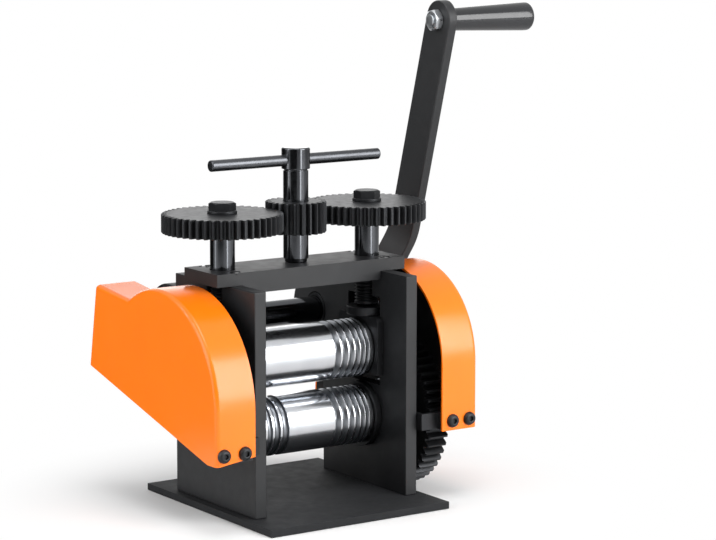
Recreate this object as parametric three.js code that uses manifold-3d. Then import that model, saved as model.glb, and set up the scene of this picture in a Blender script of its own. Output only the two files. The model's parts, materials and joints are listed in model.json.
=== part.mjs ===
// Jewellers rolling mill with a hand crank, two gear covers and a geared screw-down.
// Millimetres. +X runs along the rolls to the crank side, +Y to the back, +Z up.
// The origin is the middle of the base's underside.
import * as THREE from "three";
import { mergeVertices } from "three/addons/utils/BufferGeometryUtils.js";
import Module from "manifold-3d";

const wasm = await Module();
wasm.setup();

// Clearances between pieces
const seatGap = 0.3;
const rollEndGap = 0.3;

// Frame
const plateSpacing = 84;
const plateThickness = 6.8;
const plateDepth = 76;
const plateTop = 117.2;
const baseWidth = 107;
const baseDepth = 120.4;
const baseThickness = 3.7;
const topPlateWidth = 113.2;
const topPlateDepth = 31.6;
const topPlateThickness = 6.5;
const topPlateKeyDepth = 4.4;
const crankLobeRadius = 21.6;
const idlerLobeRadius = 11;

// Rolls
const rollDiameter = 30.5;
const lowerRollHeight = 40.6;
const rollOpening = 4.8;
const journalDiameter = 16;
const journalEnd = 2.7;
const gearSeatDiameter = 13;
const wireGrooveWidths = [3.6, 3.2, 2.8, 2.4, 2.0, 1.6];
const wireGrooveStart = 14.2;
const halfRoundGrooveWidths = [4.0, 3.6, 3.2, 2.8, 2.4];
const halfRoundGrooveStart = 13.9;
const grooveLand = 1.1;
const grooveDepthShare = 0.5;
const halfRoundDepthShare = 0.8;
const rollChamfer = 0.4;

// Bearing blocks of the upper roll and the bushes of the lower one
const blockHalfWidth = 14;
const blockFlangeHalfWidth = 18;
const blockFlangeThickness = 3.4;
const blockBelowAxis = 12.9;
const blockAboveAxis = 17.1;
const blockCornerRadius = 3;
const windowSillBelowBlock = 5.5;
const windowTop = 103;
const thrustRingThickness = 1.2;
const thrustRingRadius = 10;
const thrustPadRadius = 10.5;
const thrustPadThickness = 4.3;
const bushWall = 2.4;
const lowerBushFlangeRadius = 17;

// Springs under the upper blocks
const springRadius = 2;
const springWireRadius = 0.45;
const springCurls = 4;
const springSpacing = 20;
const springPocketDepth = 7.5;

// Gears of the drive
const driveModule = 1.5;
const driveBacklash = 0.45;
const driveGearWidth = 12;
const driveGearOffset = 8.2;
const leftPinionTeeth = 18;
const upperGearTeeth = 45;
const rightPinionTeeth = 20;
const idlerTeeth = 16;
const lowerGearTeeth = 50;
const gearBoltHeadWidth = 13;
const gearBoltHeadThickness = 3;
const gearWasherThickness = 1.5;
const gearWasherRadius = 9.5;

// Crank
const crankAxleHeight = 88.9;
const crankShaftDiameter = 13.7;
const pinionSeatDiameter = 12;
const crankBushWall = 1.8;
const crankBushFlangeRadius = 11.5;
const crankBushFlangeThickness = 1.7;
const crankLean = THREE.MathUtils.degToRad(16.2);
const crankArmLength = 160.9;
const crankArmWidth = 20.6;
const crankArmThickness = 5.5;
const crankArmStandOff = 2;
const crankJogStart = 24.5;
const crankJogLength = 16;
const crankJogOffset = 6.7;
const crankSquare = 9;
const crankBoltHeadWidth = 13;
const crankBoltHeadThickness = 5.3;
const crankBoltDiameter = 6;
const crankBoltLength = 16;
const crankWasherRadius = 8.5;
const crankWasherThickness = 1.6;
const gripLength = 52;
const gripInnerRadius = 5.8;
const gripOuterRadius = 7.5;
const gripSpindleRadius = 3.6;
const gripThreadRadius = 3;
const gripBlindEnd = 4;
const gripCollarRadius = 6;
const gripCollarThickness = 1.5;
const gripNutWidth = 10;
const gripNutThickness = 4;

// Idler stub
const idlerStubRadius = 4.5;
const idlerHeadRadius = 7;
const idlerHeadThickness = 2.5;
const idlerHubRadius = 8;

// Gear covers
const coverDepth = 22;
const coverSheet = 1.2;
const coverStandOff = 9.2;
const leftCover = { y: 2.4, z: 60.7, radius: 55.4, bottom: 36.6, toe: 9, boxBottom: 67.7, boxBack: 73.6 };
const rightCover = { y: 0, z: 70.9, radius: 47.7, bottom: 37, toe: 9, boxBottom: 37, boxBack: 70 };
const coverBoxTop = 110.5;
const coverBoxTopBack = 66.5;
const coverShoulder = 33;
const coverShaftHoleRadius = 8.5;

// Cover brackets and their screws
const bracketThickness = 2.4;
const bracketBottom = 37.5;
const bracketTop = 46;
const bracketOverlap = 18;
const bracketReach = 4.4;
const bracketStep = 3;
const coverScrewHeight = 42;
const coverScrewHeadRadius = 3.5;
const coverScrewHeadThickness = 2.4;
const coverScrewRadius = 2;
const coverScrewLength = 5.5;
const leftCoverScrews = [76, 64.1];
const rightCoverScrews = [74.8, 64.3];

// Countersunk screws in the base and the top plate
const sunkScrewRadius = 2;
const sunkHeadRadius = 3.9;
const sunkHeadHeight = 2;
const sunkScrewLength = 10;
const baseScrewSpacing = 52;
const topScrewSpacing = 23.2;

// Screw-down
const adjusterModule = 1.25;
const adjusterBacklash = 0.35;
const adjusterTeeth = 47;
const centrePinionTeeth = 23;
const adjusterGearHeight = 142.4;
const adjusterGearWidth = 9.5;
const pressureScrewRadius = 6.3;
const pressureScrewSeatRadius = 5;
const screwNotchWidth = 13.8;
const adjusterWasherRadius = 7.5;
const adjusterWasherThickness = 1.5;
const adjusterBoltHeadWidth = 12;
const adjusterBoltHeadThickness = 4.1;
const adjusterBoltRadius = 3;
const adjusterBoltLength = 14;
const centrePinionHeight = 139;
const centrePinionWidth = 16;

// T-handle
const handleStemRadius = 4.5;
const handleStemLength = 8;
const handleColumnRadius = 6.45;
const handleFootRadius = 5.7;
const handleFootHeight = 1.6;
const handleHubRadius = 7.3;
const handleHubHeight = 171.4;
const handleTop = 182.4;
const handleBarRadius = 2.9;
const handleBarHeight = 175.9;
const handleBarLength = 101.4;
const handleBarChamfer = 0.6;
const handleHubChamfer = 1;

// Facets
const rollFacets = 24;
const shaftFacets = 18;
const smallFacets = 8;
const springSides = 5;
const springSteps = 8;

// Places worked out from the sizes above
const plateInner = plateSpacing / 2;
const plateOuter = plateInner + plateThickness;
const plateMiddle = (plateInner + plateOuter) / 2;
const rollRadius = rollDiameter / 2;
const journalRadius = journalDiameter / 2;
const gearSeatRadius = gearSeatDiameter / 2;
const pinionSeatRadius = pinionSeatDiameter / 2;
const blockInner = plateInner - seatGap - blockFlangeThickness;
const rollHalfLength = blockInner - rollEndGap;
const upperRollHeight = lowerRollHeight + rollDiameter + rollOpening;
const blockBottom = upperRollHeight - blockBelowAxis;
const blockTop = upperRollHeight + blockAboveAxis;
const blockOuter = plateOuter + seatGap;
const sill = blockBottom - windowSillBelowBlock;
const driveGearInner = plateOuter + driveGearOffset;
const driveGearOuter = driveGearInner + driveGearWidth;
const topPlateTop = plateTop + topPlateThickness;
const coverInner = plateOuter + coverStandOff;
const coverOuter = coverInner + coverDepth;
const crankArmInner = coverOuter + crankArmStandOff;
const screwX = (adjusterModule * (adjusterTeeth + centrePinionTeeth)) / 2;
const padTop = blockTop + thrustPadThickness;

function centreDistance(teethA, teethB) {
  return (driveModule * (teethA + teethB)) / 2;
}

// The crank axle stands one centre distance from the upper roll, behind it and higher.
const crankRise = crankAxleHeight - upperRollHeight;
const crankAxleY = Math.sqrt(centreDistance(leftPinionTeeth, upperGearTeeth) ** 2 - crankRise ** 2);
const crankAxle = new THREE.Vector2(crankAxleY, crankAxleHeight);
const upperAxle = new THREE.Vector2(0, upperRollHeight);
const lowerAxle = new THREE.Vector2(0, lowerRollHeight);
const idlerAxle = meetingPoint(
  crankAxle,
  centreDistance(rightPinionTeeth, idlerTeeth),
  lowerAxle,
  centreDistance(idlerTeeth, lowerGearTeeth),
);

// The rear one of the two points at the given distances from a and b.
function meetingPoint(a, distanceA, b, distanceB) {
  const span = b.clone().sub(a);
  const length = span.length();
  const along = (distanceA ** 2 - distanceB ** 2 + length ** 2) / (2 * length);
  const aside = Math.sqrt(distanceA ** 2 - along ** 2);
  const direction = span.divideScalar(length);
  const point = a.clone().addScaledVector(direction, along);
  return point.add(new THREE.Vector2(-direction.y, direction.x).multiplyScalar(aside));
}

// Materials

function finish(color, metalness, roughness) {
  return new THREE.MeshStandardMaterial({ color, metalness, roughness });
}

const blackPaint = finish(0x26272a, 0.1, 0.5);
const blackSteel = finish(0x303134, 0.7, 0.45);
const orangePaint = finish(0xff8028, 0, 0.45);
const polishedSteel = finish(0xd8dade, 1, 0.15);
const brightSteel = finish(0xb4b8bc, 1, 0.35);
const zincPlate = finish(0xc6c9cc, 1, 0.4);
const bronze = finish(0xa8814a, 1, 0.4);
const blackPlastic = finish(0x1e1f21, 0, 0.45);

// Solids: closed meshes are joined and cut as manifolds.

function solid(geometry) {
  const bare = geometry.index ? geometry.toNonIndexed() : geometry.clone();
  bare.deleteAttribute("normal");
  bare.deleteAttribute("uv");
  const merged = mergeVertices(bare, 1e-4);
  return new wasm.Manifold(
    new wasm.Mesh({
      numProp: 3,
      vertProperties: merged.attributes.position.array,
      triVerts: new Uint32Array(merged.index.array),
    }),
  );
}

function geometryOf(manifold) {
  const mesh = manifold.getMesh();
  const geometry = new THREE.BufferGeometry();
  geometry.setAttribute("position", new THREE.BufferAttribute(mesh.vertProperties, 3));
  geometry.setIndex(new THREE.BufferAttribute(mesh.triVerts, 1));
  return geometry.toNonIndexed();
}

function cut(body, ...tools) {
  return geometryOf(tools.reduce((whole, tool) => whole.subtract(solid(tool)), solid(body)));
}

function join(...bodies) {
  return geometryOf(bodies.slice(1).reduce((whole, body) => whole.add(solid(body)), solid(bodies[0])));
}

function common(a, b) {
  return geometryOf(solid(a).intersect(solid(b)));
}

// Shapes. A turned piece has its axis along Z; a profile's points are radius and height.

function turned(profile, facets) {
  const points = profile.map(([radius, height]) => new THREE.Vector2(radius, height));
  return new THREE.LatheGeometry(points, facets).rotateX(Math.PI / 2);
}

function bar(radius, bottom, top, facets = shaftFacets) {
  return turned([[0, bottom], [radius, bottom], [radius, top], [0, top]], facets);
}

function tube(inner, outer, bottom, top, facets = shaftFacets) {
  const profile = [[inner, bottom], [outer, bottom], [outer, top], [inner, top], [inner, bottom]];
  return turned(profile, facets);
}

function extruded(shape, bottom, top) {
  const geometry = new THREE.ExtrudeGeometry(shape, {
    depth: top - bottom,
    bevelEnabled: false,
    curveSegments: 10,
  });
  return geometry.translate(0, 0, bottom);
}

function outline(points) {
  return new THREE.Shape(points.map(([x, y]) => new THREE.Vector2(x, y)));
}

function rectangle(left, right, bottom, top) {
  return outline([[left, bottom], [right, bottom], [right, top], [left, top]]);
}

function box(left, right, front, back, bottom, top) {
  const geometry = new THREE.BoxGeometry(right - left, back - front, top - bottom);
  return geometry.translate((left + right) / 2, (front + back) / 2, (bottom + top) / 2);
}

function hexagon(width, bottom, top) {
  return bar(width / Math.sqrt(3), bottom, top, 6);
}

// Turns a shape drawn in (y, z) with its height along X into place.
const acrossMill = new THREE.Matrix4().makeBasis(
  new THREE.Vector3(0, 1, 0),
  new THREE.Vector3(0, 0, 1),
  new THREE.Vector3(1, 0, 0),
);

function across(geometry) {
  return geometry.applyMatrix4(acrossMill);
}

function round(axle, radius, from, to, facets = shaftFacets) {
  return across(bar(radius, from, to, facets).translate(axle.x, axle.y, 0));
}

// Involute gear about Z with a tooth's middle on the X axis. A fine flank has a corner at the pitch circle.
function gear(teeth, size, backlash, bore, bottom, top, fine) {
  const pitch = (size * teeth) / 2;
  const pressure = THREE.MathUtils.degToRad(20);
  const base = pitch * Math.cos(pressure);
  const tip = pitch + size;
  const root = pitch - 1.3 * size;
  const involute = (angle) => Math.tan(angle) - angle;
  const halfTooth = (radius) =>
    Math.PI / (2 * teeth) -
    backlash / (4 * pitch) +
    involute(pressure) -
    involute(Math.acos(Math.min(1, base / radius)));
  const flank = [[root, halfTooth(Math.max(root, base))]];
  if (fine) flank.push([pitch, halfTooth(pitch)]);
  flank.push([tip, halfTooth(tip)]);
  const corners = [];
  for (let tooth = 0; tooth < teeth; tooth += 1) {
    const middle = (2 * Math.PI * tooth) / teeth;
    const rising = flank.map(([radius, half]) => [radius, middle - half]);
    const falling = flank.map(([radius, half]) => [radius, middle + half]).reverse();
    for (const [radius, angle] of [...rising, ...falling]) {
      corners.push([radius * Math.cos(angle), radius * Math.sin(angle)]);
    }
  }
  const shape = outline(corners);
  shape.holes.push(new THREE.Path().absarc(0, 0, bore, 0, 2 * Math.PI, true));
  return extruded(shape, bottom, top);
}

// The angle of a gear that meshes with another one, seen along their common axis direction.
function meshedAngle(teeth, axle, otherTeeth, otherAngle, otherAxle) {
  const direction = Math.atan2(axle.y - otherAxle.y, axle.x - otherAxle.x);
  const otherPhase = ((direction - otherAngle) * otherTeeth) / (2 * Math.PI);
  return direction + Math.PI - ((0.5 - otherPhase) * 2 * Math.PI) / teeth;
}

function driveGear(teeth, bore, inner, outer) {
  return gear(teeth, driveModule, driveBacklash, bore, inner, outer, false);
}

// The scene

const mill = new THREE.Group();

function add(name, geometry, material, parent = mill) {
  const bare = geometry.index ? geometry.toNonIndexed() : geometry;
  bare.computeVertexNormals();
  const mesh = new THREE.Mesh(bare, material);
  mesh.name = name;
  parent.add(mesh);
  return mesh;
}

const sides = [
  { name: "left", sign: -1 },
  { name: "right", sign: 1 },
];

// A copy for the left side of a shape drawn for the right one.
function forSide(side, geometry) {
  if (side.sign > 0) return geometry;
  const flipped = geometry.index ? geometry.toNonIndexed() : geometry.clone();
  const position = flipped.attributes.position;
  for (let i = 0; i < position.count; i += 3) {
    const corners = [0, 2, 1].map((step) => new THREE.Vector3().fromBufferAttribute(position, i + step));
    corners.forEach((corner, step) => position.setXYZ(i + step, -corner.x, corner.y, corner.z));
  }
  return flipped;
}

// Countersunk screw about Z, its head's flat face at z = 0 and its point up.
function sunkScrew() {
  const profile = [
    [0, 0],
    [sunkHeadRadius, 0],
    [sunkScrewRadius, sunkHeadHeight],
    [sunkScrewRadius, sunkScrewLength],
    [0, sunkScrewLength],
  ];
  return turned(profile, smallFacets);
}

function sunkHole() {
  const profile = [
    [0, -1],
    [sunkHeadRadius + 2 * seatGap, -1],
    [sunkHeadRadius + 2 * seatGap, seatGap],
    [sunkScrewRadius + seatGap, sunkHeadHeight + 2 * seatGap],
    [sunkScrewRadius + seatGap, sunkScrewLength + seatGap],
    [0, sunkScrewLength + seatGap],
  ];
  return turned(profile, smallFacets);
}

const baseScrewDepth = seatGap;
const baseScrewPlaces = [];
const topScrewPlaces = [];
for (const x of [-plateMiddle, plateMiddle]) {
  for (const end of [-1, 1]) {
    baseScrewPlaces.push([x, (end * baseScrewSpacing) / 2]);
    topScrewPlaces.push([x, (end * topScrewSpacing) / 2]);
  }
}

function baseScrewHoles() {
  return baseScrewPlaces.map(([x, y]) => sunkHole().translate(x, y, baseScrewDepth));
}

function topScrewHoles() {
  return topScrewPlaces.map(([x, y]) => sunkHole().rotateX(Math.PI).translate(x, y, topPlateTop));
}

function addFrame() {
  const base = box(-baseWidth / 2, baseWidth / 2, -baseDepth / 2, baseDepth / 2, 0, baseThickness);
  add("base_plate", cut(base, ...baseScrewHoles()), blackPaint);
  for (const side of sides) addSidePlate(side);
  addTopPlate();
  baseScrewPlaces.forEach(([x, y], index) => {
    const screw = add(`base_screw_${index + 1}`, sunkScrew(), blackSteel);
    screw.position.set(x, y, baseScrewDepth);
  });
  topScrewPlaces.forEach(([x, y], index) => {
    const screw = add(`top_screw_${index + 1}`, sunkScrew().rotateX(Math.PI), blackSteel);
    screw.position.set(x, y, topPlateTop - seatGap);
  });
}

// Side plate with its rear ear for the crank shaft and idler, and a window open to the top.
function addSidePlate(side) {
  const back = plateDepth / 2;
  const windowHalf = blockHalfWidth + seatGap;
  const notchHalf = screwNotchWidth / 2;
  const span = crankAxle.clone().sub(idlerAxle);
  const lean = Math.acos((idlerLobeRadius - crankLobeRadius) / span.length());
  const tangent = span.angle() - lean;
  const lobeMeetsEdge = Math.acos((back - crankAxle.x) / crankLobeRadius);
  const shape = new THREE.Shape();
  shape.moveTo(-back, baseThickness);
  shape.lineTo(back, baseThickness);
  shape.lineTo(back, idlerAxle.y - idlerLobeRadius);
  shape.lineTo(idlerAxle.x, idlerAxle.y - idlerLobeRadius);
  shape.absarc(idlerAxle.x, idlerAxle.y, idlerLobeRadius, -Math.PI / 2, tangent, false);
  shape.absarc(crankAxle.x, crankAxle.y, crankLobeRadius, tangent, lobeMeetsEdge, false);
  shape.lineTo(back, plateTop);
  shape.lineTo(notchHalf, plateTop);
  shape.lineTo(notchHalf, windowTop);
  shape.lineTo(windowHalf, windowTop);
  shape.lineTo(windowHalf, sill);
  shape.lineTo(-windowHalf, sill);
  shape.lineTo(-windowHalf, windowTop);
  shape.lineTo(-notchHalf, windowTop);
  shape.lineTo(-notchHalf, plateTop);
  shape.lineTo(-back, plateTop);
  const plate = across(extruded(shape, plateInner, plateOuter));
  const through = [plateInner - 1, plateOuter + 1];
  const holes = [
    round(lowerAxle, journalRadius + bushWall + 2 * seatGap, ...through),
    round(crankAxle, crankShaftDiameter / 2 + crankBushWall + 2 * seatGap, ...through),
  ];
  if (side.sign > 0) holes.push(round(idlerAxle, idlerStubRadius - 1 + seatGap, ...through));
  const screwHoles = [...baseScrewHoles(), ...topScrewHoles()];
  add(`side_plate_${side.name}`, cut(forSide(side, cut(plate, ...holes)), ...screwHoles), blackPaint);
}

// Top plate: a slab over both side plates with a key between them.
function addTopPlate() {
  const front = topPlateDepth / 2;
  const slab = box(-topPlateWidth / 2, topPlateWidth / 2, -front, front, plateTop, topPlateTop);
  const keyHalf = plateInner - seatGap;
  const key = box(-keyHalf, keyHalf, -front, front, plateTop - topPlateKeyDepth, plateTop + 1);
  const through = [plateTop - topPlateKeyDepth - 1, topPlateTop + 1];
  const holes = [-screwX, screwX].map((x) =>
    bar(pressureScrewRadius + seatGap, ...through).translate(x, 0, 0),
  );
  holes.push(bar(handleStemRadius + seatGap, ...through));
  add("top_plate", cut(join(slab, key), ...holes, ...topScrewHoles()), blackPaint);
}

function addBushes(side) {
  const bore = journalRadius + seatGap;
  const flangeFace = plateInner - seatGap;
  const lower = [
    [bore, blockInner],
    [lowerBushFlangeRadius, blockInner],
    [lowerBushFlangeRadius, flangeFace],
    [bore + bushWall - seatGap, flangeFace],
    [bore + bushWall - seatGap, blockOuter],
    [bore, blockOuter],
    [bore, blockInner],
  ];
  const lowerBush = across(turned(lower, shaftFacets).translate(lowerAxle.x, lowerAxle.y, 0));
  add(`lower_bush_${side.name}`, forSide(side, lowerBush), blackSteel);
  const shaftBore = crankShaftDiameter / 2 + seatGap;
  const flangeInner = plateOuter + seatGap;
  const flangeOuter = flangeInner + crankBushFlangeThickness;
  const crank = [
    [shaftBore, plateInner],
    [shaftBore + crankBushWall, plateInner],
    [shaftBore + crankBushWall, flangeInner],
    [crankBushFlangeRadius, flangeInner],
    [crankBushFlangeRadius, flangeOuter],
    [shaftBore, flangeOuter],
    [shaftBore, plateInner],
  ];
  const crankBush = across(turned(crank, shaftFacets).translate(crankAxle.x, crankAxle.y, 0));
  add(`crank_bush_${side.name}`, forSide(side, crankBush), bronze);
}

// A cover's outline in (y, z), drawn in by the given distance; the bottom stays open.
function coverShape(cover, inset, drop) {
  const radius = cover.radius - inset;
  const front = cover.y - radius;
  const shoulder = Math.acos((coverShoulder - cover.y) / cover.radius);
  const boxTop = coverBoxTop - inset;
  const slope = (cover.boxBottom - coverBoxTop) / (cover.boxBack - coverBoxTopBack);
  const backAt = (z) => coverBoxTopBack - inset + (z - coverBoxTop) / slope;
  const shape = new THREE.Shape();
  shape.moveTo(front, cover.bottom - drop);
  shape.lineTo(cover.y - cover.radius + cover.toe, cover.bottom - drop);
  shape.lineTo(backAt(cover.boxBottom - drop), cover.boxBottom - drop);
  shape.lineTo(backAt(boxTop), boxTop);
  shape.absarc(cover.y, cover.z, radius, shoulder, Math.PI, false);
  return shape;
}

function addCover(side, cover) {
  const outer = across(extruded(coverShape(cover, 0, 0), coverInner, coverOuter));
  const hollow = across(extruded(coverShape(cover, coverSheet, 2), coverInner - 1, coverOuter - coverSheet));
  const screws = coverScrews(side).map((x) => coverScrewHole(x, cover));
  const holes = [hollow, ...screws];
  if (side.sign > 0) holes.push(round(crankAxle, coverShaftHoleRadius, coverInner, coverOuter + 1));
  add(`gear_cover_${side.name}`, forSide(side, cut(outer, ...holes)), orangePaint);
}

function coverScrews(side) {
  return side.sign > 0 ? rightCoverScrews : leftCoverScrews;
}

// Turns a shape about Z so that it points to the back.
function pointingBack(geometry) {
  return geometry.rotateX(-Math.PI / 2);
}

function coverScrewHole(x, cover) {
  const face = cover.y - cover.radius;
  const hole = bar(coverScrewRadius + seatGap, -1, coverSheet + 2 * seatGap + bracketThickness, smallFacets);
  return pointingBack(hole).translate(x, face, coverScrewHeight);
}

function addCoverScrews(side, cover) {
  const face = cover.y - cover.radius;
  const profile = [
    [0, -coverScrewHeadThickness],
    [coverScrewHeadRadius * 0.7, -coverScrewHeadThickness],
    [coverScrewHeadRadius, -coverScrewHeadThickness * 0.4],
    [coverScrewHeadRadius, 0],
    [coverScrewRadius, 0],
    [coverScrewRadius, coverScrewLength],
    [0, coverScrewLength],
  ];
  coverScrews(side).forEach((x, index) => {
    const screw = add(
      `cover_screw_${side.name}_${index + 1}`,
      pointingBack(turned(profile, smallFacets)),
      blackSteel,
    );
    screw.position.set(side.sign * x, face, coverScrewHeight);
  });
}

// Strip bracket: one leg on the side plate, bent out in front of it and forward to the cover's front wall.
function addBracket(side, cover) {
  const thick = bracketThickness;
  const legBack = bracketOverlap - plateDepth / 2;
  const bend = -plateDepth / 2 - bracketReach;
  const wall = cover.y - cover.radius + coverSheet + seatGap;
  const step = coverInner + bracketStep;
  const reach = coverOuter - coverSheet - 3 * seatGap;
  const strip = outline([
    [plateOuter, legBack],
    [plateOuter, bend],
    [step - thick, bend],
    [step - thick, wall],
    [reach, wall],
    [reach, wall + thick],
    [step, wall + thick],
    [step, bend + thick],
    [plateOuter + thick, bend + thick],
    [plateOuter + thick, legBack],
  ]);
  const holes = coverScrews(side).map((x) => coverScrewHole(x, cover));
  const bracket = cut(extruded(strip, bracketBottom, bracketTop), ...holes);
  add(`cover_bracket_${side.name}`, forSide(side, bracket), blackSteel);
}

// Rolls

// Profile of a roll between its ends, with V grooves for wire towards the crank side.
function rollProfile(halfRound) {
  const points = [];
  if (halfRound) {
    let x = -halfRoundGrooveStart;
    const grooves = [];
    for (const width of halfRoundGrooveWidths) {
      grooves.push([x - width, x]);
      x -= width + grooveLand;
    }
    for (const [from, to] of grooves.reverse()) {
      const radius = (to - from) / 2;
      const middle = (from + to) / 2;
      for (let step = 0; step <= 3; step += 1) {
        const angle = Math.PI * (1 - step / 3);
        const depth = radius * Math.sin(angle) * halfRoundDepthShare;
        points.push([rollRadius - depth, middle + radius * Math.cos(angle)]);
      }
    }
  }
  let start = wireGrooveStart;
  for (const width of wireGrooveWidths) {
    points.push([rollRadius, start]);
    points.push([rollRadius - width * grooveDepthShare, start + width / 2]);
    points.push([rollRadius, start + width]);
    start += width + grooveLand;
  }
  return points;
}

// A roll along X. Its geared journal points to gearSide, the other one ends just outside its plate.
function rollGeometry(halfRound, gearSide) {
  const short = blockOuter + journalEnd;
  const long = driveGearOuter - seatGap;
  const left = gearSide < 0;
  const shoulder = driveGearInner;
  const leftEnd = left
    ? [[0, -long], [gearSeatRadius, -long], [gearSeatRadius, -shoulder], [journalRadius, -shoulder]]
    : [[0, -short], [journalRadius, -short]];
  const rightEnd = left
    ? [[journalRadius, short], [0, short]]
    : [[journalRadius, shoulder], [gearSeatRadius, shoulder], [gearSeatRadius, long], [0, long]];
  const profile = [
    ...leftEnd,
    [journalRadius, -rollHalfLength],
    [rollRadius - rollChamfer, -rollHalfLength],
    [rollRadius, rollChamfer - rollHalfLength],
    ...rollProfile(halfRound),
    [rollRadius, rollHalfLength - rollChamfer],
    [rollRadius - rollChamfer, rollHalfLength],
    [journalRadius, rollHalfLength],
    ...rightEnd,
  ];
  const tapped = bar(adjusterBoltRadius + seatGap, long - adjusterBoltLength, long + 1, smallFacets);
  const hole = left ? tapped.rotateX(Math.PI) : tapped;
  return across(cut(turned(profile, rollFacets), hole));
}

// Hex bolt with its washer, about Z with the washer's underside at z = 0 and the head up.
function washerBolt(washerRadius, washerThickness, headWidth, headThickness) {
  const shank = bar(adjusterBoltRadius, seatGap - adjusterBoltLength, washerThickness / 2, smallFacets);
  const washer = bar(washerRadius, 0, washerThickness);
  const head = hexagon(headWidth, washerThickness / 2, washerThickness + headThickness);
  return join(shank, washer, head);
}

function driveGearBolt() {
  return washerBolt(gearWasherRadius, gearWasherThickness, gearBoltHeadWidth, gearBoltHeadThickness);
}

function addRoll(name, axle, halfRound, gearSide, teeth, angle) {
  const group = new THREE.Group();
  group.position.set(0, axle.x, axle.y);
  mill.add(group);
  add(`${name}_roll`, rollGeometry(halfRound, gearSide), polishedSteel, group);
  const inner = gearSide < 0 ? -driveGearOuter : driveGearInner;
  const wheel = driveGear(teeth, gearSeatRadius + seatGap, inner, inner + driveGearWidth);
  add(`${name}_roll_gear`, across(wheel.rotateZ(angle)), blackSteel, group);
  const bolt = driveGearBolt();
  if (gearSide < 0) bolt.rotateX(Math.PI);
  bolt.translate(0, 0, gearSide * driveGearOuter);
  add(`${name}_gear_bolt`, across(bolt), blackSteel, group);
}

// Upper bearing blocks

function addBlock(side) {
  const shape = rectangle(-blockHalfWidth, blockHalfWidth, blockBottom, blockTop);
  const web = across(extruded(shape, plateInner - 1, blockOuter));
  const half = blockFlangeHalfWidth;
  const corner = blockCornerRadius;
  const flangeShape = new THREE.Shape();
  flangeShape.moveTo(-half, blockBottom);
  flangeShape.lineTo(half, blockBottom);
  flangeShape.lineTo(half, blockTop - corner);
  flangeShape.absarc(half - corner, blockTop - corner, corner, 0, Math.PI / 2, false);
  flangeShape.absarc(corner - half, blockTop - corner, corner, Math.PI / 2, Math.PI, false);
  const flange = across(extruded(flangeShape, blockInner, plateInner - seatGap));
  const holes = [
    round(upperAxle, journalRadius + seatGap, blockInner - 1, blockOuter + 1),
    round(upperAxle, thrustRingRadius + seatGap, blockInner - 1, blockInner + thrustRingThickness + seatGap),
  ];
  for (const y of [-springSpacing / 2, springSpacing / 2]) {
    const pocket = bar(springPocketRadius, blockBottom - 1, blockBottom + springPocketDepth, smallFacets);
    holes.push(pocket.translate(plateMiddle, y, 0));
  }
  add(`upper_block_${side.name}`, forSide(side, cut(join(web, flange), ...holes)), blackSteel);
  const pad = bar(thrustPadRadius, blockTop, padTop);
  add(`thrust_pad_${side.name}`, pad.translate(side.sign * screwX, 0, 0), brightSteel);
  const ringInner = blockInner;
  const ring = tube(journalRadius + seatGap, thrustRingRadius, ringInner, ringInner + thrustRingThickness);
  const placed = across(ring.translate(upperAxle.x, upperAxle.y, 0));
  add(`thrust_ring_${side.name}`, forSide(side, placed), bronze);
}

// Springs between the sills and the blocks

const springPocketRadius = springRadius + springWireRadius + seatGap;
const springBottom = sill + seatGap + springWireRadius;
const springTop = blockBottom + springPocketDepth - seatGap - springWireRadius;

class Helix extends THREE.Curve {
  getPoint(share, target = new THREE.Vector3()) {
    const angle = 2 * Math.PI * springCurls * share;
    const height = springBottom + (springTop - springBottom) * share;
    return target.set(springRadius * Math.cos(angle), springRadius * Math.sin(angle), height);
  }
}

function springGeometry() {
  const corners = Array.from({ length: springSides }, (_, side) => {
    const angle = (2 * Math.PI * side) / springSides;
    return [springWireRadius * Math.cos(angle), springWireRadius * Math.sin(angle)];
  });
  return new THREE.ExtrudeGeometry(outline(corners), {
    extrudePath: new Helix(),
    steps: springCurls * springSteps,
    bevelEnabled: false,
  });
}

// Least gap between the wire's surface in one curl and in another, measured on points.
function springGap() {
  const helix = new Helix();
  const samples = springCurls * 16;
  let least = Infinity;
  for (let i = 0; i <= samples; i += 1) {
    for (let j = i + 10; j <= samples; j += 1) {
      const distance = helix.getPoint(i / samples).distanceTo(helix.getPoint(j / samples));
      least = Math.min(least, distance - 2 * springWireRadius);
    }
  }
  return least;
}

function addSprings(side) {
  ["front", "rear"].forEach((end, index) => {
    const spring = add(`spring_${side.name}_${end}`, springGeometry(), brightSteel);
    spring.position.set(side.sign * plateMiddle, (index - 0.5) * springSpacing, 0);
  });
}

// Crank

const spigotEnd = crankArmInner + crankArmThickness - 2 * seatGap;
const shaftEnd = driveGearOuter + 1;

function crankShaftGeometry() {
  const radius = crankShaftDiameter / 2;
  const profile = [
    [0, -shaftEnd],
    [pinionSeatRadius, -shaftEnd],
    [pinionSeatRadius, -driveGearInner + seatGap],
    [radius, -driveGearInner + seatGap],
    [radius, driveGearInner - seatGap],
    [pinionSeatRadius, driveGearInner - seatGap],
    [pinionSeatRadius, crankArmInner - seatGap],
    [0, crankArmInner - seatGap],
  ];
  const half = crankSquare / 2;
  const spigot = box(-half, half, -half, half, crankArmInner - 1, spigotEnd);
  const holeRadius = crankBoltDiameter / 2 + seatGap;
  const tapped = bar(holeRadius, spigotEnd - crankBoltLength, spigotEnd + 1, smallFacets);
  return across(cut(join(turned(profile, shaftFacets), spigot), tapped));
}

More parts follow.
